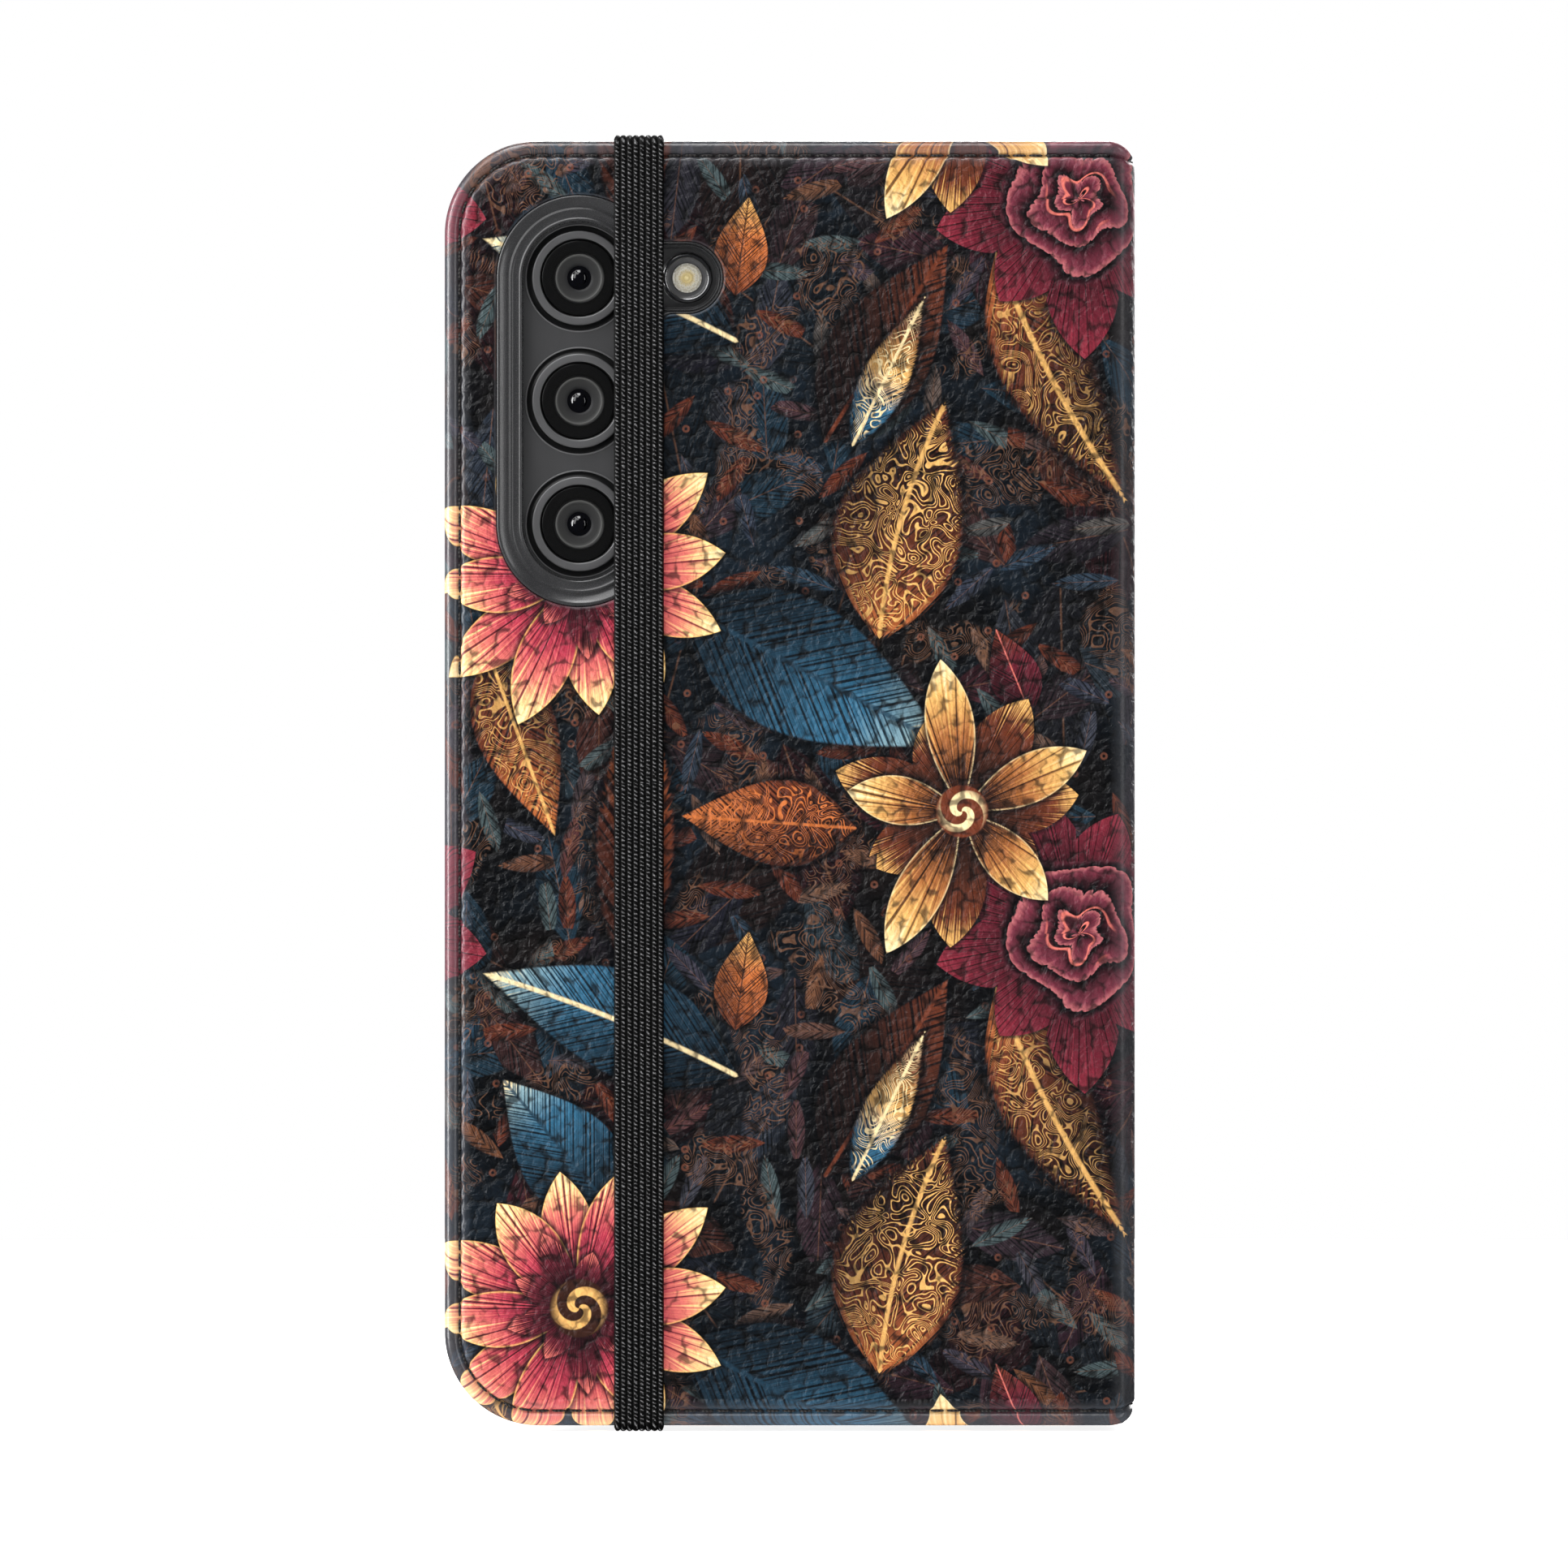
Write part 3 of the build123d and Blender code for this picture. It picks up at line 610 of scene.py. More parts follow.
def lens_glass():
    """Dark coated glass with the baffle ring, the funnel and the eye of the lens under it."""
    f = Finish("dark_glass", Specular_IOR_Level=0.5, IOR=1.5)
    turn, radius = f.split(f.map("sheet"))
    dust = f.noise(f.join(turn * 40.0, radius * 3.0), 1.0, 2.0)
    black = f.mix(dust * 0.5, ink(8, 8, 8), ink(13, 13, 12))
    stops = [
        (0.0, ink(2, 2, 5)), (0.318, ink(1, 1, 3)), (0.338, ink(26, 26, 27)), (0.41, ink(36, 36, 36)),
        (0.56, ink(40, 40, 39)), (0.582, ink(62, 62, 61)), (0.615, ink(68, 68, 66)), (0.640, ink(6, 6, 6)),
        (0.72, ink(8, 8, 7)), (0.80, ink(12, 12, 12)),
    ]
    eye = f.ramp(radius * (1 / 4.5), stops)
    colour = f.mix(f.smooth(radius, 3.3, 3.7), eye, black)
    rough = f.smooth(radius, 1.30, 1.48, 0.02, 0.42) - f.smooth(radius, 2.9, 3.1, 0.0, 0.24)
    return f.finish(Base_Color=colour, Roughness=rough + dust * 0.05)


def bright_ring_metal():
    """Bright turned ring with a dark recess inside it."""
    f = Finish("bright_ring", Specular_IOR_Level=0.5)
    turn, radius = f.split(f.map("sheet"))
    spun = f.hair(radius, 40.0, 1.0)
    recess = f.smooth(radius, 2.42, 2.34)
    colour = f.mix(spun, ink(112, 112, 113), ink(140, 140, 141))
    colour = f.mix(recess, colour, ink(70, 70, 71))
    outer = f.smooth(radius, 2.98, 3.06)
    colour = f.mix(outer, colour, ink(74, 74, 75))
    worn = f.noise(f.join(turn * 8.0, radius), 1.0, 1.0)
    return f.finish(
        Base_Color=colour,
        Metallic=(1 - recess) * (1 - outer),
        Roughness=worn * 0.1 + 0.2,
        Normal=f.bump(spun, 0.004),
    )


def milky_lens():
    """Diffuser: pearly plastic with faint yellow phosphor behind it."""
    f = Finish("milky_lens", Coat_Weight=0.5, Coat_Roughness=0.12, Specular_IOR_Level=0.6)
    turn, radius = f.split(f.map("sheet"))
    facets = f.math("SINE", turn * (math.tau * 5))
    cloud = f.noise(f.join(facets * 0.6, radius * 1.6), 1.6, 2.0)
    stops = [
        (0.0, ink(216, 200, 150)), (0.3, ink(168, 148, 96)), (0.55, ink(190, 186, 172)),
        (0.8, ink(150, 144, 126)), (1.0, ink(196, 194, 186)),
    ]
    colour = f.ramp(radius * (1 / 1.8) + (cloud - 0.5) * 0.7, stops)
    rings = f.math("SINE", radius * 14.0)
    return f.finish(Base_Color=colour, Roughness=cloud * 0.2 + 0.15, Normal=f.bump(rings, 0.03))


RIBS = 8
RIB_WIDTH = (strap_high[0] - strap_low[0]) / RIBS
YARN_PITCH = 0.50


def woven_elastic():
    """Ribbed elastic: twisted black yarn wound round each rubber cord, with pale painted highlights on the
    crests of its turns.
    """
    f = Finish("woven_elastic", Specular_IOR_Level=0.12)
    across, along = f.split(f.map("sheet"))
    ribs = across * (1 / RIB_WIDTH)
    rib = f.math("FLOOR", ribs)
    within = f.math("PINGPONG", ribs, 0.5) * 2
    jitter = f.noise(f.map("sheet"), 1.4, 2.0)
    turns = along * (math.tau / YARN_PITCH) - f.math("FRACT", ribs) * 4.4 + rib * 2.2 + jitter * 6.0
    wind = f.math("SINE", turns)
    fuzz = f.noise(f.map("sheet"), 7.0, 2.0)
    # where the yarn's turns crest on each rib: it shapes the relief and places the painted highlight
    strand_and_highlight = f.smooth(wind, 0.0, 0.95) * f.smooth(within, 0.28, 0.72)
    # painted highlight: pale grey flecks on those crests, over the black yarn
    colour = f.mix(strand_and_highlight * f.smooth(fuzz, 0.36, 0.64, 0.15, 1.0), ink(4, 4, 4), ink(128, 128, 129))
    relief = strand_and_highlight * 0.7 + fuzz * 0.3
    return f.finish(Base_Color=colour, Roughness=fuzz * 0.2 + 0.5, Normal=f.bump(relief, 0.2))


def grey_board():
    """Pressed dark-cored board with short paper fibres."""
    f = Finish("greyboard", Specular_IOR_Level=0.2)
    place = f.solid()
    fibres = f.noise(f.vector("MULTIPLY", place, (3.0, 1.0, 0.7)), 1.0, 3.0, 0.6, "3D")
    colour = f.mix(fibres, ink(50, 48, 46), ink(70, 67, 64))
    return f.finish(Base_Color=colour, Roughness=fibres * 0.1 + 0.82, Normal=f.bump(fibres, 0.03))


def adhesive_tape():
    """Amber adhesive film with a few trapped bubbles."""
    f = Finish("tape", Specular_IOR_Level=0.5)
    place = f.solid()
    bubbles = f.noise(place, 0.6, 2.0, 0.0, "3D")
    colour = f.mix(f.smooth(bubbles, 0.45, 0.65), ink(178, 160, 112), ink(206, 190, 146))
    return f.finish(Base_Color=colour, Roughness=bubbles * 0.3 + 0.2, Normal=f.bump(bubbles, 0.02))


# ---- mesh making ----


class Skin:
    """A mesh in the making: points, their places on the flat sheet, how glossy they are and how much pale
    painted highlight they get, and faces.
    """

    def __init__(self):
        self.points, self.places, self.faces, self.rubbed = [], [], [], []
        self.flat = set()

    def row(self, points, places=None, rubbed=0.0):
        """Adds points and gives back their numbers."""
        start = len(self.points)
        points = [tuple(p) for p in points]
        self.points += points
        self.rubbed += list(rubbed) if np.ndim(rubbed) else [rubbed] * len(points)
        self.places += [tuple(p) for p in places] if places is not None else [(p[0], p[2]) for p in points]
        return list(range(start, len(self.points)))

    def quilt(self, rows, closed=False):
        """Joins each row to the next with quads."""
        for near, far in zip(rows, rows[1:]):
            count = len(near)
            for i in range(count if closed else count - 1):
                j = (i + 1) % count
                self.faces.append((near[i], near[j], far[j], far[i]))

    def fill(self, *loops):
        """Fills the flat area between an outer loop and its holes."""
        flat = [[Vector((self.points[i][0], self.points[i][2], 0)) for i in loop] for loop in loops]
        numbers = [i for loop in loops for i in loop]
        first = len(self.faces)
        self.faces += [tuple(numbers[i] for i in corner) for corner in tessellate_polygon(flat)]
        self.flat.update(range(first, len(self.faces)))

    def make(self, name, material):
        mesh = bpy.data.meshes.new(name)
        mesh.from_pydata((np.array(self.points) * MM).tolist(), [], self.faces)
        corners = np.zeros(len(mesh.loops), np.int32)
        mesh.loops.foreach_get("vertex_index", corners)
        layer = mesh.uv_layers.new(name="sheet")
        layer.data.foreach_set("uv", np.array(self.places, np.float32)[corners].ravel())
        rubbed = mesh.attributes.new("rubbed", "FLOAT", "POINT")
        rubbed.data.foreach_set("value", np.array(self.rubbed, np.float32))
        body = bmesh.new()
        body.from_mesh(mesh)
        bmesh.ops.recalc_face_normals(body, faces=body.faces)
        for number, face in enumerate(body.faces):
            face.smooth = number not in self.flat
        body.to_mesh(mesh)
        body.free()
        mesh.materials.append(material)
        piece = bpy.data.objects.new(name, mesh)
        bpy.context.scene.collection.objects.link(piece)
        return piece


def settle(piece, body, slot, *nodes):
    """Says what a piece rides on and the CAD nodes that it stands for; the slot is not used."""
    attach(piece, body)
    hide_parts(*nodes)
    return piece


# ---- the cover's edge and seam ----

# inset and depth of the rows from the turned-in edge to the flat face: on a panel, then on the
# spine, whose ends are rounder and whose seam lies lower
EDGE_ROWS = [
    (1.00, 2.20, 0.60, 2.20), (0.45, 2.20, 0.25, 2.10), (0.12, 2.10, 0.22, 1.70), (0.00, 1.85, 0.36, 1.25),
    (0.00, 1.25, 0.62, 0.88), (0.09, 0.84, 0.90, 0.62), (0.28, 0.48, 1.22, 0.42), (0.55, 0.24, 1.52, 0.30),
    (0.88, 0.15, 1.80, 0.24), (1.18, 0.22, 2.02, 0.28), (1.42, 0.40, 2.20, 0.40), (1.60, 0.60, 2.34, 0.56),
    (1.76, 0.68, 2.46, 0.62), (1.90, 0.48, 2.58, 0.44), (2.02, 0.20, 2.70, 0.18), (2.18, 0.05, 2.86, 0.05),
    (2.42, 0.00, 3.10, 0.00), (3.20, 0.00, 3.90, 0.00),
]
# how far a needle hole moves each row inwards and sinks it
HOLE_PULL = [(0.0, 0.0)] * 10 + [
    (0.0, 0.02), (0.0, 0.06), (0.04, 0.10), (0.09, 0.12),
    (0.12, 0.09), (0.09, 0.04), (0.03, 0.01), (0.0, 0.0),
]
PANEL_EDGE = [(*row[:2], *pull) for row, pull in zip(EDGE_ROWS, HOLE_PULL)]
# at the fold only leather and lining bend
FOLD_EDGE = [(inset, min(depth, LEATHER + LINING), *pull) for inset, depth, *pull in PANEL_EDGE]
SPINE_EDGE = [(*row[2:], *pull) for row, pull in zip(EDGE_ROWS, HOLE_PULL)]
# points along the seam to each stitch
SAMPLES = 8


def pinch(along):
    """1 at a needle hole and 0 at the middle of a stitch."""
    return (0.5 + 0.5 * np.cos(along * math.tau / STITCH_PITCH)) ** 2


def edge_shine_and_highlight(inset):
    """How smooth and shiny handling has made the leather at a way in from the edge; the same share lays a
    pale painted highlight there.
    """
    insets, gloss = zip((1.42, 1.0), (1.76, 0.2), (2.10, 0.8), (2.42, 0.4), (3.20, 0.0))
    return float(np.interp(inset, insets, gloss))


def edge_stations():
    """Points on the panel's outer edge, the ways inwards, and distances along the seam."""
    inner = COVER_CORNER - SEAM_INSET
    straight = FOLD_X - FREE_X - COVER_CORNER
    arc = math.pi / 2 * inner
    side = TOP_Z - BOTTOM_Z - 2 * COVER_CORNER
    stops = np.cumsum([straight, arc, side, arc, straight])
    count = round(stops[-1] / STITCH_PITCH)
    centre_x = FREE_X + COVER_CORNER
    high, low = TOP_Z - COVER_CORNER, BOTTOM_Z + COVER_CORNER
    stations = []
    for along in np.linspace(0, stops[-1], count * SAMPLES + 1):
        part = int(np.searchsorted(stops, along))
        if part in (1, 3):
            turn = (along - stops[part - 1]) / inner + (math.pi / 2 if part == 1 else math.pi)
            way = (-math.cos(turn), -math.sin(turn))
            centre_z = high if part == 1 else low
            spot = (centre_x - way[0] * COVER_CORNER, centre_z - way[1] * COVER_CORNER)
        else:
            spot, way = {
                0: ((FOLD_X - along, TOP_Z), (0, -1)),
                2: ((FREE_X, high - (along - stops[1])), (1, 0)),
                4: ((centre_x + along - stops[3], BOTTOM_Z), (0, 1)),
            }[part]
        stations.append((*spot, *way, along * count * STITCH_PITCH / stops[-1]))
    return np.array(stations)


def arc(x, z, radius, start, end, count, whole=False):
    """Points of an arc between two angles in degrees, with its last point only if it is whole."""
    turns = np.radians(np.linspace(start, end, count, endpoint=whole))
    return [(x + radius * math.cos(t), z + radius * math.sin(t)) for t in turns]


def line(start, end, count):
    """Points of a straight run, without its last one."""
    return np.linspace(start, end, count, endpoint=False).tolist()


def window_contour(radius, lobe, fillet=WINDOW_FILLET):
    """Camera window in (x, z), always with the same number of points."""
    top, bottom, steps = LENS_Z["upper"], LENS_Z["lower"], 12
    right = LENS_X + radius
    join_x = LENS_X + math.sqrt((radius + fillet) ** 2 - (lobe + fillet) ** 2)
    meet = math.degrees(math.atan2(lobe + fillet, join_x - LENS_X))
    low_corner, high_corner = top - lobe - fillet, top + lobe + fillet
    points = arc(LENS_X, bottom, radius, 180, 360, 6 * steps)
    points += line((right, bottom), (right, low_corner), steps)
    points += arc(right + fillet, low_corner, fillet, 180, 90, steps)
    points += line((right + fillet, top - lobe), (FLASH_X, top - lobe), 3)
    points += arc(FLASH_X, top, lobe, -90, 90, 4 * steps)
    points += line((FLASH_X, top + lobe), (join_x, top + lobe), 3)
    points += arc(join_x, high_corner, fillet, 270, 180 + meet, steps)
    points += arc(LENS_X, top, radius, meet, 180, 5 * steps)
    points += line((LENS_X - radius, top), (LENS_X - radius, bottom), 2 * steps)
    return points


def face_y(depth, front):
    """Y of a depth behind the back panel's face, or behind the front cover's."""
    return FRONT_Y - depth if front else BACK_Y + depth


QUARTER = math.pi / 2 * FOLD_RADIUS
SPINE_WIDTH = THICKNESS - 2 * FOLD_RADIUS
WRAP = 2 * QUARTER + SPINE_WIDTH


def sheet_x(x, front):
    """Place across the flat sheet of a point on a panel."""
    return FOLD_X + WRAP + (FOLD_X - x) if front else x


# how far a row lies outside the camera guard, its depth, and how smooth the leather is there, which also
# sets its pale painted highlight
WINDOW_RIM = [(0.06, 0.8, 0.6), (0.06, 0.16, 0.6), (0.16, 0.03, 0.6), (0.40, 0.0, 0.0)]


def panel_leather(front, material):
    """One panel's leather: turned in, rolled over the edge, sewn and drawn flat."""
    skin = Skin()
    stations = edge_stations()
    spot, way, along = stations[:, 0:2], stations[:, 2:4], stations[:, 4]
    hole = pinch(along)
    rows = []
    for inset, depth, shift, sink in PANEL_EDGE:
        at = spot + way * (inset + shift * hole)[:, None]
        points = np.column_stack([at[:, 0], face_y(depth + sink * hole, front), at[:, 1]])
        flat = spot + way * (inset - depth)
        places = np.column_stack([sheet_x(flat[:, 0], front), flat[:, 1]])
        rows.append(skin.row(points, places, edge_shine_and_highlight(inset)))
    skin.quilt(rows)
    windows = []
    if not front:
        rims = []
        for grow, depth, gloss in WINDOW_RIM:
            rim = window_contour(WINDOW_RADIUS + grow, WINDOW_LOBE + grow, WINDOW_FILLET - grow)
            rims.append(skin.row([(x, face_y(depth, front), z) for x, z in rim], rubbed=gloss))
        skin.quilt(rims, closed=True)
        windows.append(rims[-1])
    skin.fill(rows[-1], *windows)
    side = "front" if front else "back"
    piece = skin.make(side + "_cover_leather", material)
    return settle(piece, side, "printed_leather", side + "_leather")


def spine_station(round_place):
    """Point, outward way and edge mix at a distance round from the back fold's start."""
    if round_place <= QUARTER:
        turn = round_place / FOLD_RADIUS
        outward = (math.sin(turn), -math.cos(turn))
        point = (FOLD_X + outward[0] * FOLD_RADIUS, BACK_Y + FOLD_RADIUS + outward[1] * FOLD_RADIUS)
        return point, outward, round_place / QUARTER
    if round_place <= QUARTER + SPINE_WIDTH:
        return (SPINE_X, BACK_Y + FOLD_RADIUS + round_place - QUARTER), (1, 0), 1.0
    point, outward, share = spine_station(WRAP - round_place)
    return (point[0], BACK_Y + FRONT_Y - point[1]), (outward[0], -outward[1]), share


# how smooth the folds' crests are, which also sets a pale painted highlight on them, and how far in the
# leather lies free of the seam
CREST_SHINE_AND_HIGHLIGHT = 0.5
ROLLED_EDGE = 1.2


def wrapped_leather(start, end, steps, name, material):
    """Leather round the folds or the spine, between two distances round them."""
    skin = Skin()
    strips = []
    for place in np.linspace(start, end, steps + 1):
        point, outward, share = spine_station(place)
        crest = CREST_SHINE_AND_HIGHLIGHT * math.sin(math.pi * share)
        share = share * share * (3 - 2 * share)
        hole = pinch(place + 0.5 * STITCH_PITCH)
        column, flat, gloss = [], [], []
        for sign, edge_z in ((1, TOP_Z), (-1, BOTTOM_Z)):
            part, marks, shine = [], [], []
            for fold_row, spine_row in zip(FOLD_EDGE, SPINE_EDGE):
                inset, depth, shift, sink = np.array(fold_row) * (1 - share) + np.array(spine_row) * share
                shine.append(max(edge_shine_and_highlight(fold_row[0]), crest))
                inset, deep = inset + shift * hole, depth + sink * hole
                deep = min(deep, LEATHER + LINING) if inset < ROLLED_EDGE else deep
                x, y = point[0] - outward[0] * deep, point[1] - outward[1] * deep
                part.append((x, y, edge_z - sign * inset))
                marks.append((FOLD_X + place, edge_z - sign * (inset - depth)))
            for whole, half in ((column, part), (flat, marks), (gloss, shine)):
                whole += half[::sign]
        strips.append(skin.row(column, flat, gloss))
    skin.quilt(strips)
    return skin.make(name, material)


def fold_place(place, front):
    """A distance into a fold from its panel, as a distance round from the back fold's start."""
    return WRAP - place if front else place


# depth and inset of a fold lining's rows: outer side, rounded edge, inner side
FOLD_LINING_ROWS = [(LEATHER + 0.02, 1.0), (LEATHER + LINING, 1.05), (LEATHER + LINING, 2.0)]


def fold_lining(front, material):
    """Lining that bends inside a fold."""
    skin = Skin()
    strips = []
    for share in np.linspace(0, 1, 9):
        place = fold_place(share * QUARTER, front)
        point, outward, _ = spine_station(place)
        column = [
            (point[0] - outward[0] * depth, point[1] - outward[1] * depth, inset)
            for depth, inset in FOLD_LINING_ROWS
        ]
        points = [(x, y, TOP_Z - inset) for x, y, inset in column]
        points += [(x, y, BOTTOM_Z + inset) for x, y, inset in column[::-1]]
        strips.append(skin.row(points, [(FOLD_X + place, p[2]) for p in points]))
    skin.quilt(strips)
    return skin.make(("front" if front else "back") + "_fold_microfibre", material)


# where a fold's bend begins and ends, from its panel along the chord
BEND_FROM, BEND_TO = 0.64, 3.6


def fold_ends(front):
    """Two points on a fold's chord, where its bend starts and ends, in metres."""
    points = []
    for place in (0.0, QUARTER):
        point, _, _ = spine_station(fold_place(place, front))
        points.append(Vector((point[0] * MM, point[1] * MM, MIDDLE_Z * MM)))
    way = (points[1] - points[0]).normalized()
    start, end = points[0] + way * BEND_FROM * MM, points[0] + way * BEND_TO * MM
    return (end, start) if front else (start, end)


# ---- stitches ----

STITCH_HALF = 0.80
THREAD_RADIUS = 0.14
RING_POINTS = 7
# how far a stitch lies on the edge side of its seam's middle, and its depth in the seam's groove
SEAM_LEAN = 0.17
GROOVE_DEPTH = 0.42


def thread(skin, middle, along, up):
    """One stitch: a short round of thread that dives into its holes."""
    middle, along, up = (np.array(v, float) for v in (middle, along, up))
    across = np.cross(along, up)
    rings = []
    for share in np.linspace(-1, 1, 9):
        dive = up * (0.06 - 0.34 * share ** 4)
        thick = THREAD_RADIUS * (1 - 0.55 * abs(share) ** 5)
        centre = middle + along * (STITCH_HALF * share) + dive
        turns = np.linspace(0, math.tau, RING_POINTS + 1)[:-1]
        ring = [centre + thick * (across * math.cos(t) + up * math.sin(t)) for t in turns]
        rings.append(skin.row(ring, [(share * STITCH_HALF, i / RING_POINTS) for i in range(RING_POINTS)]))
    skin.quilt(rings, closed=True)
    skin.faces += [tuple(rings[0]), tuple(rings[-1])]


def seam_threads(skin, front, depth_of, keep=lambda x, z: True, facing=1):
    """Stitches along a panel's seam."""
    outward = (0, facing if front else -facing, 0)
    inset = SEAM_INSET - SEAM_LEAN
    for x, z, way_x, way_z, _ in edge_stations()[SAMPLES // 2::SAMPLES]:
        x, z = x + way_x * inset, z + way_z * inset
        if keep(x, z):
            thread(skin, (x, face_y(depth_of(z), front), z), (way_z, 0, -way_x), outward)


def back_threads(material):
    skin = Skin()
    seam_threads(skin, False, lambda z: GROOVE_DEPTH)
    return settle(skin.make("back_seam_thread", material), "back", "thread", "back_stitching")


def inner_depth(z):
    """Depth of the inside of the front cover at a height, thread included."""
    leaves = 1 + sum(1 for _, top in CARD_POCKETS.values() if z < top)
    return PANEL + POCKET_LEAF * leaves + 0.04


def clear_of_steps(x, z):
    """True away from the pockets' mouths and the fold side."""
    beside = all(abs(z - top) > 0.95 for _, top in CARD_POCKETS.values())
    return beside and x < POCKET_RIGHT - 0.8


def front_threads(material):
    skin = Skin()
    seam_threads(skin, True, lambda z: GROOVE_DEPTH)
    seam_threads(skin, True, inner_depth, clear_of_steps, -1)
    return settle(skin.make("front_seam_thread", material), "front", "thread", "front_stitching")


def straight_threads(skin, start, end, depth_of):
    """A straight row of stitches on the pockets."""
    start, end = np.array(start, float), np.array(end, float)
    length = np.linalg.norm(end - start)
    way = (end - start) / length
    count = max(int(length / STITCH_PITCH), 1)
    for i in range(count):
        x, z = start + way * (length * (i + 0.5) / count)
        thread(skin, (x, face_y(depth_of(z), True), z), (way[0], 0, way[1]), (0, -1, 0))


# pocket seams: from a leaf's right edge and from a mouth, and each mouth seam's two ends
POCKET_SEAM, MOUTH_SEAM = 2.0, 1.6
MOUTH_ENDS = (11.5, 32.0)


def pocket_threads(material):
    """Side seam and mouth seams of the card pockets."""
    skin = Skin()
    seam_x = POCKET_RIGHT - 1.0 - POCKET_SEAM
    centre = (FREE_X + seam_x) / 2
    lower = BOTTOM_Z + 2 * SEAM_INSET
    for top in sorted(top for _, top in CARD_POCKETS.values()):
        straight_threads(skin, (seam_x, lower), (seam_x, top - 1.0), inner_depth)
        lower = top + 1.0
        for side in (-1, 1):
            start, end = ((centre + side * reach, top - MOUTH_SEAM) for reach in MOUTH_ENDS)
            straight_threads(skin, start, end, inner_depth)
    return settle(skin.make("pocket_thread", material), "front", "thread", "pocket_stitching")


# how far a spine stitch lies on the end's side of its seam, how deep, and clear of the folds
SPINE_LEAN, SPINE_GROOVE = 0.15, 0.36
CLEAR_OF_FOLD = 0.8


def spine_threads(material):
    """Short rows of stitches across the spine's ends."""
    skin = Skin()
    inset = SPINE_SEAM_INSET - SPINE_LEAN
    first = math.ceil((QUARTER + CLEAR_OF_FOLD) / STITCH_PITCH)
    for z in (TOP_Z - inset, BOTTOM_Z + inset):
        place = first * STITCH_PITCH
        while place < QUARTER + SPINE_WIDTH - CLEAR_OF_FOLD:
            (x, y), _, _ = spine_station(place)
            thread(skin, (x - SPINE_GROOVE, y, z), (0, 1, 0), (1, 0, 0))
            place += STITCH_PITCH
    return settle(skin.make("spine_seam_thread", material), "spine", "thread", "spine_stitching")


# ---- camera guard ----

# inset from the window's edge, depth
BEZEL_PROFILE = [
    (0.00, 1.40), (0.00, 0.26), (0.04, 0.12), (0.14, 0.03), (0.27, 0.00), (0.40, 0.03), (0.50, 0.11),
    (0.75, 0.26), (1.10, 0.44), (1.38, 0.54), (1.48, 0.53), (1.56, 0.45), (1.66, 0.38), (1.78, 0.37),
    (1.90, 0.42), (2.00, 0.50), (2.30, 0.53), (2.62, 0.54), (2.70, 0.50), (2.78, 0.43), (2.88, 0.41),
    (2.98, 0.45), (3.05, 0.58), (3.08, 0.90), (3.10, 1.45), (3.16, 1.70), (3.16, 1.78),
]


def camera_frame(material):
    """Stepped frame of the camera window, with rounded steps."""
    skin = Skin()
    rows = []
    for inset, depth in BEZEL_PROFILE:
        lobe = WINDOW_LOBE - inset * (WINDOW_LOBE - FLOOR_LOBE) / BEZEL_WIDTH
        contour = window_contour(WINDOW_RADIUS - inset, lobe, WINDOW_FILLET + 0.25 * inset)
        rows.append(skin.row([(x, BACK_Y + depth, z) for x, z in contour]))
    skin.quilt(rows, closed=True)
    return settle(skin.make("camera_frame", material), "back", "bezel_plastic", "camera_bezel")


def lathe(name, x, z, profile, material, count=128):
    """A turned piece facing out of the back; its map holds the turn and the radius."""
    skin = Skin()
    rows = []
    for radius, depth in profile:
        turns = np.linspace(0, math.tau, count, endpoint=False)
        ring = [(x + radius * math.cos(t), BACK_Y + depth, z + radius * math.sin(t)) for t in turns]
        rows.append(skin.row(ring, [(abs(2 * i / count - 1), radius) for i in range(count)]))
    skin.quilt(rows, closed=True)
    skin.faces.append(tuple(rows[-1]))
    return skin.make(name, material)


# radius and depth of the turned pieces, from the outside inwards
LENS_RING_PROFILE = [
    (6.44, 1.70), (6.39, 1.62), (6.32, 1.59), (6.26, 1.62),
    (6.22, 1.69), (5.64, 1.69), (5.60, 1.62), (5.59, 1.22),
    (5.57, 1.14), (5.51, 1.09), (5.42, 1.07), (4.82, 1.045),
    (4.75, 1.055), (4.69, 1.09), (4.60, 1.19), (4.48, 1.45),
]
LENS_GLASS_PROFILE = [
    (4.44, 1.62), (4.44, 1.30), (4.38, 1.26), (4.0, 1.25),
    (3.0, 1.25), (2.86, 1.26), (2.80, 1.30), (2.76, 1.27),
    (2.68, 1.27), (2.62, 1.31), (2.2, 1.36), (1.8, 1.42),
    (1.5, 1.47), (1.44, 1.51), (1.20, 1.515), (0.98, 1.50),
    (0.90, 1.44), (0.80, 1.36), (0.70, 1.29), (0.60, 1.233), (0.50, 1.187), (0.40, 1.152), (0.30, 1.125),
    (0.20, 1.106), (0.10, 1.096), (0.03, 1.095),
]
FLASH_RING_PROFILE = [
    (3.12, 1.70), (3.06, 1.66), (3.0, 1.60), (2.92, 1.36),
    (2.82, 1.24), (2.70, 1.20), (2.58, 1.22), (2.46, 1.30),
    (2.38, 1.42), (2.32, 1.50), (1.98, 1.52), (1.86, 1.52), (1.80, 1.56), (1.78, 1.66),
]
FLASH_LENS_PROFILE = [
    (1.76, 1.69), (1.75, 1.46), (1.70, 1.38), (1.60, 1.33), (1.40, 1.28), (1.1, 1.23), (0.8, 1.20),
    (0.4, 1.18), (0.05, 1.175),
]


def turned_part(finishes, name, slot, node, x, z, profile, count=128):
    """One ring or glass of the guard; a ring is open in the middle."""
    piece = lathe(name, x, z, profile, finishes[slot], count)
    if "ring" in slot:
        open_end(piece)
    settle(piece, "back", slot, node)


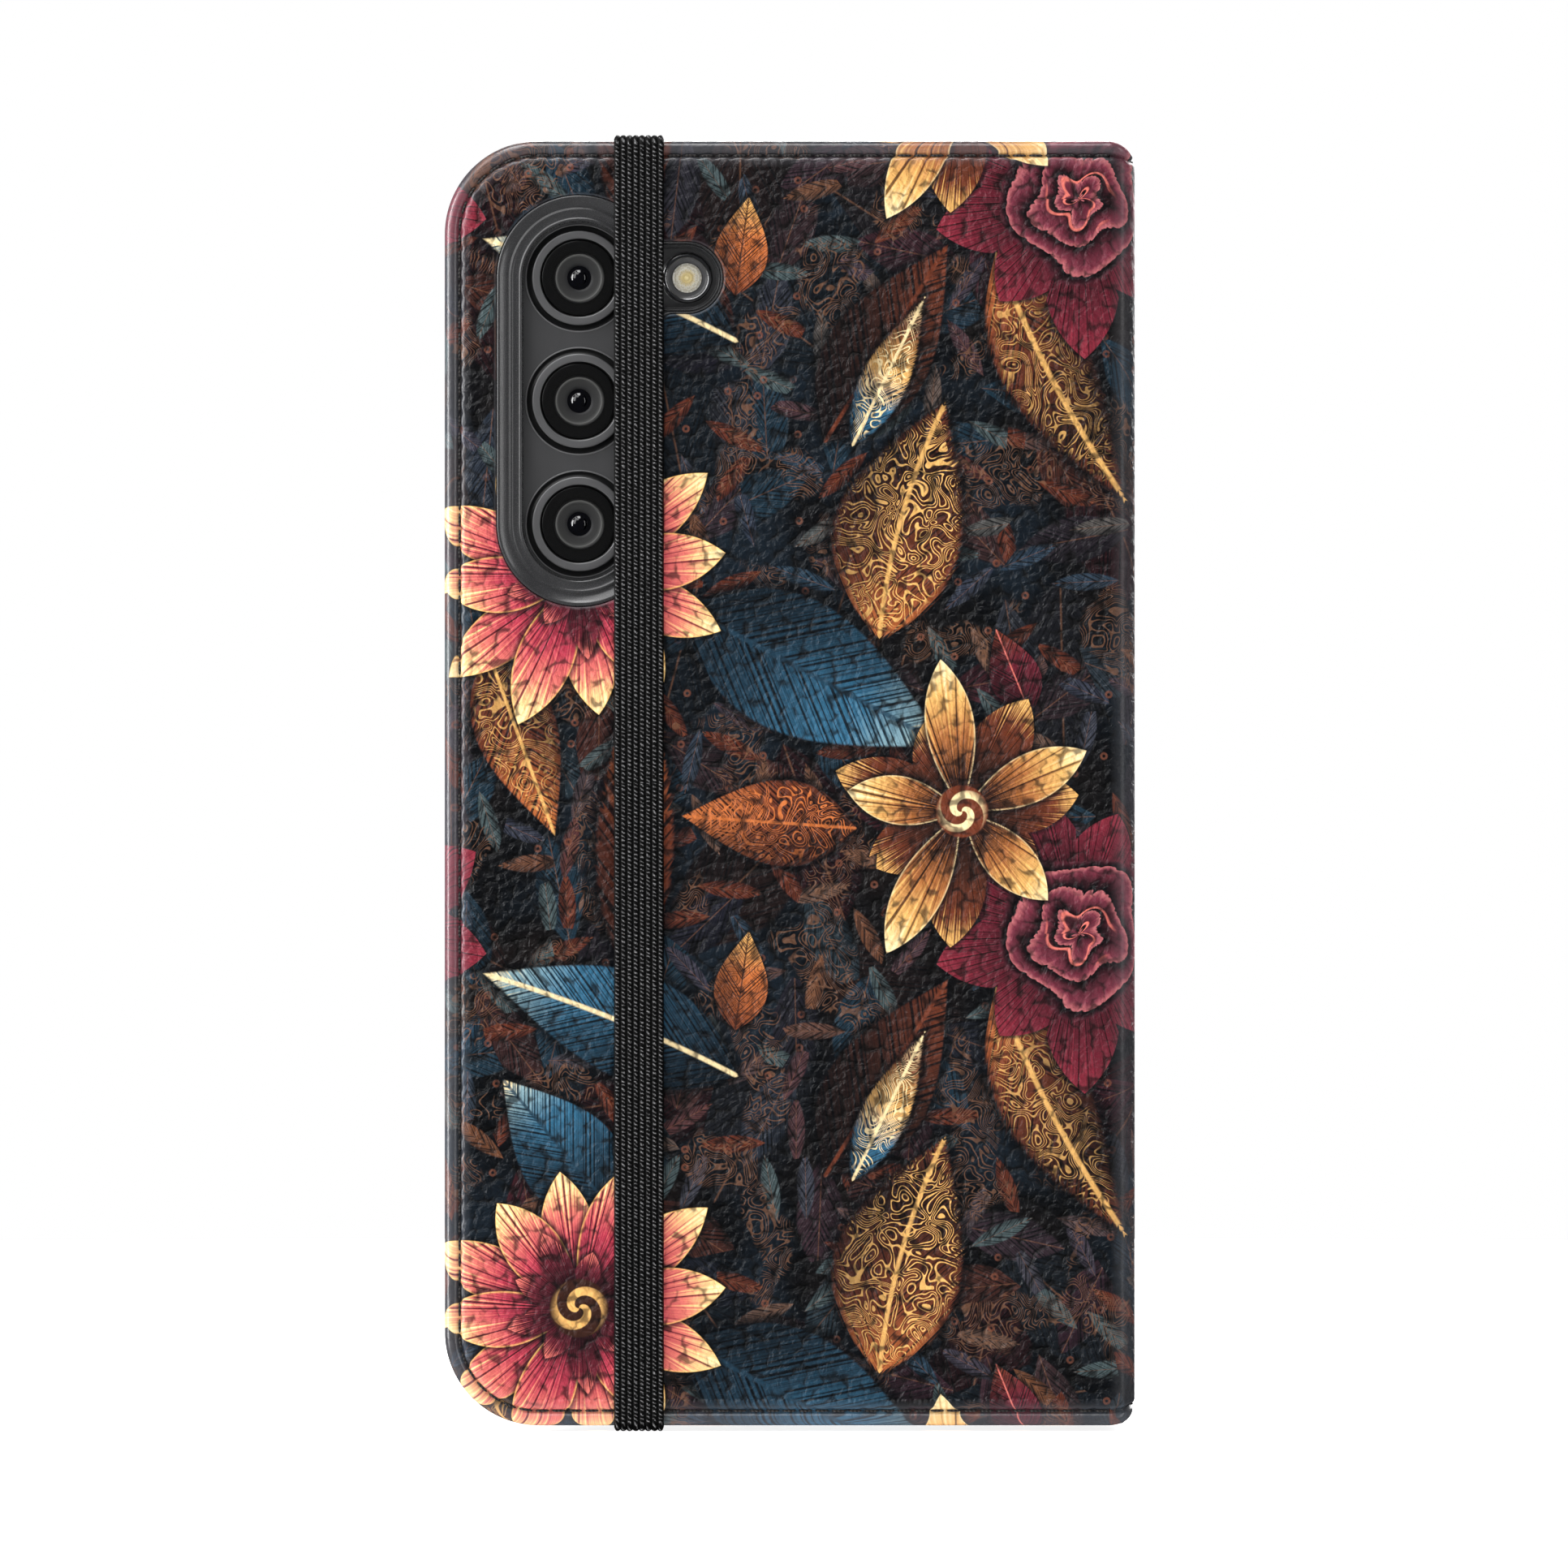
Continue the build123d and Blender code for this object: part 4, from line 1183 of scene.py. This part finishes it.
def camera_parts(finishes):
    """Rings and glasses of the three lenses, and the flash beside them."""
    for name, z in LENS_Z.items():
        ring, glass = "lens_" + name + "_ring", "lens_" + name + "_glass"
        turned_part(finishes, ring, "grey_ring", "lens_ring_" + name, LENS_X, z, LENS_RING_PROFILE)
        turned_part(finishes, glass, "dark_glass", "lens_cover_" + name, LENS_X, z, LENS_GLASS_PROFILE)
    z = LENS_Z["upper"]
    for slot, node, profile in (
        ("bright_ring", "flash_ring", FLASH_RING_PROFILE), ("milky_lens", "flash_lens", FLASH_LENS_PROFILE),
    ):
        turned_part(finishes, "flash_" + slot, slot, node, FLASH_X, z, profile, 96)


def open_end(piece):
    """Takes off a turned piece's last cap."""
    body = bmesh.new()
    body.from_mesh(piece.data)
    caps = [face for face in body.faces if len(face.verts) > 4]
    bmesh.ops.delete(body, geom=caps, context="FACES_ONLY")
    body.to_mesh(piece.data)
    body.free()


# ---- elastic strap ----

STRAP_HALF = (strap_high[0] - strap_low[0]) / 2
STRAP_THICK = 0.6
STRAP_GAP = 0.05
STRAP_CORNER = 0.45
TAIL_DEPTH = 1.6
# height of the inner side, of its rounded edges, and of the outer side's edges
WEB_LOW, WEB_EDGE, WEB_SIDE = 0.02, 0.06, 0.10
RIB_POINTS = 8


def strap_section():
    """Closed outline across the strap: ribbed outside, nearly flat inside."""
    points = []
    for i in range(RIBS * RIB_POINTS + 1):
        across = -STRAP_HALF + 2 * STRAP_HALF * i / (RIBS * RIB_POINTS)
        rib = abs(math.sin(math.pi * i / RIB_POINTS)) ** 0.7
        edge = min(1.0, (STRAP_HALF - abs(across)) / 0.25) ** 0.5
        points.append((across, WEB_SIDE + (STRAP_THICK - WEB_SIDE) * edge * (0.6 + 0.4 * rib)))
    for i in range(17):
        across = STRAP_HALF - 2 * STRAP_HALF * i / 16
        points.append((across, WEB_LOW if 0 < i < 16 else WEB_EDGE))
    return points


def strap_path():
    """Places on the strap's inner side from its top tail round to the middle: z, depth, outward."""
    gap, corner = STRAP_GAP, STRAP_CORNER
    path = [(TOP_Z - 4.5 + i * 1.1, TAIL_DEPTH, (0.0, 1.0)) for i in range(5)]
    for turn in np.linspace(0, math.pi / 2, 7)[1:]:
        z = TOP_Z - corner + gap + corner * math.sin(turn)
        depth = TAIL_DEPTH - corner + corner * math.cos(turn)
        path.append((z, depth, (math.sin(turn), math.cos(turn))))
    for turn in np.linspace(0, math.pi / 2, 9):
        z = TOP_Z - corner + gap + corner * math.cos(turn)
        depth = corner - gap - corner * math.sin(turn)
        path.append((z, depth, (math.cos(turn), -math.sin(turn))))
    path += [(z, -gap, (0.0, -1.0)) for z in np.linspace(TOP_Z - corner, MIDDLE_Z, 62)[1:]]
    return path


def strap_half(lower, material):
    """Half of the elastic, from one end's tail to the middle of the panel."""
    skin = Skin()
    section = strap_section()
    rows, length, last = [], 0.0, None
    for z, depth, (up, out) in strap_path():
        if last is not None:
            length += math.hypot(z - last[0], depth - last[1])
        last = (z, depth)
        ring, places = [], []
        for across, rise in section:
            y = BACK_Y + depth + out * rise
            high = z + up * rise
            high = 2 * MIDDLE_Z - high if lower else high
            ring.append((STRAP_X + across, y, high))
            places.append((across + STRAP_HALF, -length if lower else length))
        rows.append(skin.row(ring, places))
    skin.quilt(rows, closed=True)
    skin.faces.append(tuple(rows[0]))
    return skin.make("strap_" + ("lower" if lower else "upper"), material)


def elastic_strap(material):
    """The strap's two halves, each stretching from its sewn end to the middle."""
    for lower in (False, True):
        half = strap_half(lower, material)
        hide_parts("elastic_strap")
        end_z = BOTTOM_Z + 1.0 if lower else TOP_Z - 1.0
        start = (STRAP_X * MM, BACK_Y * MM, end_z * MM)
        MIDDLE_Z * MM
        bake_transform(half)


# ---- inside of the cover ----


def panel_loop(inset, right, top=None, notch=None):
    """Outline of a sheet inside a panel, in (x, z), with a finger notch in its side or top."""
    left, corner = FREE_X + inset, COVER_CORNER - inset
    low, high = BOTTOM_Z + inset, TOP_Z - inset if top is None else top
    points = [(left, high)]
    if top is None:
        points = arc(left + corner, high - corner, corner, 90, 180, 13, whole=True)
    points += arc(left + corner, low + corner, corner, 180, 270, 13, whole=True)
    points.append((right, low))
    away = NOTCH_RADIUS - NOTCH_SINK
    swing = math.degrees(math.acos(away / NOTCH_RADIUS))
    if notch == "side":
        z = MIDDLE_Z + SIDE_NOTCH_RISE
        points += arc(right + away, z, NOTCH_RADIUS, 180 + swing, 180 - swing, 17, whole=True)
    points.append((right, high))
    if notch == "top":
        x = (FREE_X + right) / 2
        points += arc(x, high + away, NOTCH_RADIUS, 270 + swing, 270 - swing, 17, whole=True)
    return points


def area_of(loop):
    """Flat area inside an outline."""
    pairs = zip(loop, loop[1:] + loop[:1])
    return abs(sum(a[0] * b[1] - b[0] * a[1] for a, b in pairs)) / 2


SOFT_EDGE = 0.12


def sheet_piece(name, loop, near, far, front, material, holes=()):
    """A sheet between two depths, with softly rounded edges."""
    skin = Skin()
    soft = min(SOFT_EDGE, (far - near) * 0.4)
    loops = []
    for outline in (loop, *holes):
        inwards = shrink(outline, soft * 0.8)
        sides = ((inwards, far), (outline, far - soft), (outline, near + soft), (inwards, near))
        rings = [skin.row([(x, face_y(depth, front), z) for x, z in points]) for points, depth in sides]
        skin.quilt(rings, closed=True)
        loops.append((rings[0], rings[-1]))
    for face in zip(*loops):
        skin.fill(*face)
    return skin.make(name, material)


def shrink(loop, amount):
    """An outline moved inwards along its own normals."""
    points = np.array(loop)
    way = np.roll(points, -1, 0) - np.roll(points, 1, 0)
    way /= np.linalg.norm(way, axis=1)[:, None]
    signed = sum(a[0] * b[1] - b[0] * a[1] for a, b in zip(loop, loop[1:] + loop[:1]))
    inward = np.column_stack([-way[:, 1], way[:, 0]]) * (1 if signed > 0 else -1)
    return (points + inward * amount).tolist()


def declare(loop, rests_on):
    """Works out the flat size and area of a sheet's outline, and keeps neither."""
    xs, zs = [p[0] for p in loop], [p[1] for p in loop]
    flat = ((max(xs) - min(xs)) * MM, (max(zs) - min(zs)) * MM)
    area_of(loop) * MM * MM


# how far the lining stays in from the cover's edge, from the fold and from the camera window
LINING_INSET, LINING_GAP, LINING_CLEAR = 1.0, 0.3, 1.05


def linings(material):
    """Microfibre of the two panels and of the spine."""
    loop = panel_loop(LINING_INSET, FOLD_X - LINING_GAP)
    window = window_contour(WINDOW_RADIUS + LINING_CLEAR, WINDOW_LOBE + LINING_CLEAR)
    for side, holes in (("back", [window]), ("front", [])):
        front = side == "front"
        piece = sheet_piece(side + "_microfibre", loop, PANEL - LINING, PANEL, front, material, holes)
        settle(piece, side, "microfibre", side + "_lining")
        declare(loop, [side + "_board"])
    spine_lining(material)


# how far the microfibre clouds of the spine lie from a panel's, so that they don't line up
SPINE_CLOUDS = 60


def spine_lining(material):
    """Microfibre of the spine, with its inner edges rounded."""
    low, high = span("spine_lining")
    skin = Skin()
    rows = []
    for x, inset in ((high[0], 0.0), (low[0] + SOFT_EDGE, 0.0), (low[0], 0.1)):
        front, back = high[1] - inset, low[1] + inset
        bottom, top = low[2] + inset, high[2] - inset
        ring = [(x, back, bottom), (x, front, bottom), (x, front, top), (x, back, top)]
        rows.append(skin.row(ring, [(p[1] + SPINE_CLOUDS, p[2]) for p in ring]))
    skin.quilt(rows, closed=True)
    skin.faces += [tuple(rows[0]), tuple(rows[-1])]
    spine = settle(skin.make("spine_microfibre", material), "spine", "microfibre", "spine_lining")


AIR = 0.01


def pockets(material):
    """The note pocket and the three card pockets, each on the one behind it."""
    loop = panel_loop(POCKET_INSET, POCKET_RIGHT, notch="side")
    cash = sheet_piece("note_pocket_leaf", loop, PANEL + AIR, PANEL + POCKET_LEAF, True, material)
    settle(cash, "front", "pocket_leather", "cash_pocket")
    declare(loop, ["front_microfibre"])
    behind = "note_pocket_leaf"
    for node, (layer, top) in CARD_POCKETS.items():
        loop = panel_loop(POCKET_INSET, POCKET_RIGHT - 1.0, top, "top")
        near = PANEL + POCKET_LEAF * (1 + layer) + AIR
        name = node + "_leaf"
        leaf = sheet_piece(name, loop, near, near + POCKET_LEAF - AIR, True, material)
        settle(leaf, "front", "pocket_leather", node)
        declare(loop, [behind])
        behind = name


# ---- the case ----


def all_finishes():
    """Every finish, by the name of its material slot."""
    return {
        "printed_leather": printed_leather(),
        "pocket_leather": pocket_leatherette(),
        "greyboard": grey_board(),
        "microfibre": brushed_lining(),
        "thread": sewing_thread(),
        "bezel_plastic": moulded_plastic("bezel_plastic", ink(44, 44, 45), ink(55, 55, 56), 0.26, 0.35),
        "camera_plate_plastic":
            moulded_plastic("camera_plate_plastic", ink(52, 52, 53), ink(60, 60, 61), 0.5),
        "grey_ring": lens_ring_metal(),
        "bright_ring": bright_ring_metal(),
        "milky_lens": milky_lens(),
        "dark_glass": lens_glass(),
        "tray_plastic": moulded_plastic("tray_plastic", ink(30, 30, 31), ink(42, 42, 43), 0.5),
        "tape": adhesive_tape(),
        "woven_elastic": woven_elastic(),
    }


def fold(side, start, finishes):
    """Leather and lining of one fold."""
    front = side == "front"
    strip = wrapped_leather(start, start + QUARTER, 20, side + "_fold_leather", finishes["printed_leather"])
    lining = fold_lining(front, finishes["microfibre"])
    for piece, slot, node in ((strip, "printed_leather", "_fold"), (lining, "microfibre", "_fold_lining")):
        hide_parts(side + node)
        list(fold_ends(front))
        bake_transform(piece)


def make_case(finishes):
    """Builds every piece round the frame."""
    kept = {
        "camera_plate": "camera_plate_plastic", "phone_tray": "tray_plastic", "tray_tape": "tape",
        "back_board": "greyboard", "spine_board": "greyboard", "front_board": "greyboard",
    }
    for node, finish in kept.items():
        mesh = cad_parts[node].data
        for i in range(len(mesh.materials)):
            mesh.materials[i] = finishes[finish]
    leather = finishes["printed_leather"]
    panel_leather(False, leather)
    panel_leather(True, leather)
    spine_end = QUARTER + SPINE_WIDTH
    steps = round(SPINE_WIDTH / STITCH_PITCH * SAMPLES)
    spine = wrapped_leather(QUARTER, spine_end, steps, "spine_cover_leather", leather)
    settle(spine, "spine", "printed_leather", "spine_leather")
    fold("back", 0.0, finishes)
    fold("front", spine_end, finishes)
    for threads in (back_threads, front_threads, spine_threads, pocket_threads):
        threads(finishes["thread"])
    camera_frame(finishes["bezel_plastic"])
    camera_parts(finishes)
    elastic_strap(finishes["woven_elastic"])
    linings(finishes["microfibre"])
    pockets(finishes["pocket_leather"])


# ---- studio ----

# what the camera takes in across at the back panel, its lens and its sensor
FRAME_WIDTH = 185.9
LENS = 300.0
SENSOR = 36.0
CAMERA_SHIFT = (-0.7, -0.1)
FLOOR_RADIUS = 650.0
# each soft box's place and size in metres, and its watts
LIGHTS = {
    "left_box": ((-0.42, -0.30, 0.30), (0.25, 0.35), 1.1),
    "right_strip": ((0.82, -0.45, 0.25), (0.12, 0.8), 2.0),
    "top_box": ((-0.22, -0.26, 0.52), (0.35, 0.2), 0.8),
    "back_box": ((0.3, 0.9, 0.5), (0.9, 0.7), 10),
    "left_rim": ((-0.95, -0.16, 0.25), (0.3, 0.8), 12.0),
    "top_rim": ((-0.20, -0.16, 1.10), (0.8, 0.3), 8.0),
}


def add_light(name, place, size, power):
    """A soft box that faces the middle of the case."""
    lamp = bpy.data.lights.new(name, "AREA")
    lamp.shape = "RECTANGLE"
    lamp.size, lamp.size_y = size
    lamp.energy = power
    light = bpy.data.objects.new(name, lamp)
    light.location = place
    way = Vector((0, 0, MIDDLE_Z * MM)) - Vector(place)
    light.rotation_euler = way.to_track_quat("-Z", "Y").to_euler()
    bpy.context.scene.collection.objects.link(light)


def pale_floor():
    """Plain round floor of white paper that glows a little."""
    f = Finish("floor_paper", Specular_IOR_Level=0.1, Emission_Color=(1, 1, 1, 1), Emission_Strength=0.85)
    tooth = f.noise(f.solid(), 0.4, 2.0)
    f.finish(Base_Color=f.mix(tooth, ink(240, 240, 240), ink(246, 246, 246)), Roughness=tooth * 0.1 + 0.8)
    skin = Skin()
    turns = np.linspace(0, math.tau, 97)[:-1]
    rim = [(FLOOR_RADIUS * math.cos(t), FLOOR_RADIUS * math.sin(t), 0.0) for t in turns]
    skin.faces.append(tuple(skin.row(rim)))
    floor = skin.make("floor", f.material)
    floor.location.z = cad_box[0][2] - 0.00002
    floor.visible_glossy = False


def surroundings():
    """White to the camera, and a faint cool light on everything else."""
    world = bpy.data.worlds.new("studio")
    world.use_nodes = True
    bpy.context.scene.world = world
    nodes, links = world.node_tree.nodes, world.node_tree.links
    both = nodes.new("ShaderNodeMixShader")
    links.new(nodes.new("ShaderNodeLightPath").outputs["Is Camera Ray"], both.inputs[0])
    lit, seen = nodes["Background"], nodes.new("ShaderNodeBackground")
    shades = ((lit, (0.9, 0.93, 1.0, 1), 0.08), (seen, (1, 1, 1, 1), 1.0))
    for place, (shade, colour, strength) in enumerate(shades, 1):
        shade.inputs["Color"].default_value = colour
        shade.inputs["Strength"].default_value = strength
        links.new(shade.outputs[0], both.inputs[place])
    links.new(both.outputs[0], nodes["World Output"].inputs[0])


def camera():
    """A long lens square to the back panel."""
    scene = bpy.context.scene
    scene.view_settings.view_transform = "Standard"
    body = bpy.data.cameras.new("camera")
    body.lens, body.sensor_width = LENS, SENSOR
    body.clip_start, body.clip_end = 0.05, 20
    seat = bpy.data.objects.new("camera", body)
    distance = FRAME_WIDTH * LENS / SENSOR
    seat.location = (CAMERA_SHIFT[0] * MM, (BACK_Y - distance) * MM, (MIDDLE_Z + CAMERA_SHIFT[1]) * MM)
    seat.rotation_euler = (math.pi / 2, 0, 0)
    scene.collection.objects.link(seat)
    scene.camera = seat


def studio():
    """Floor, surroundings, soft boxes and camera."""
    pale_floor()
    surroundings()
    for name, light in LIGHTS.items():
        add_light(name, *light)
    camera()


make_case(all_finishes())
studio()
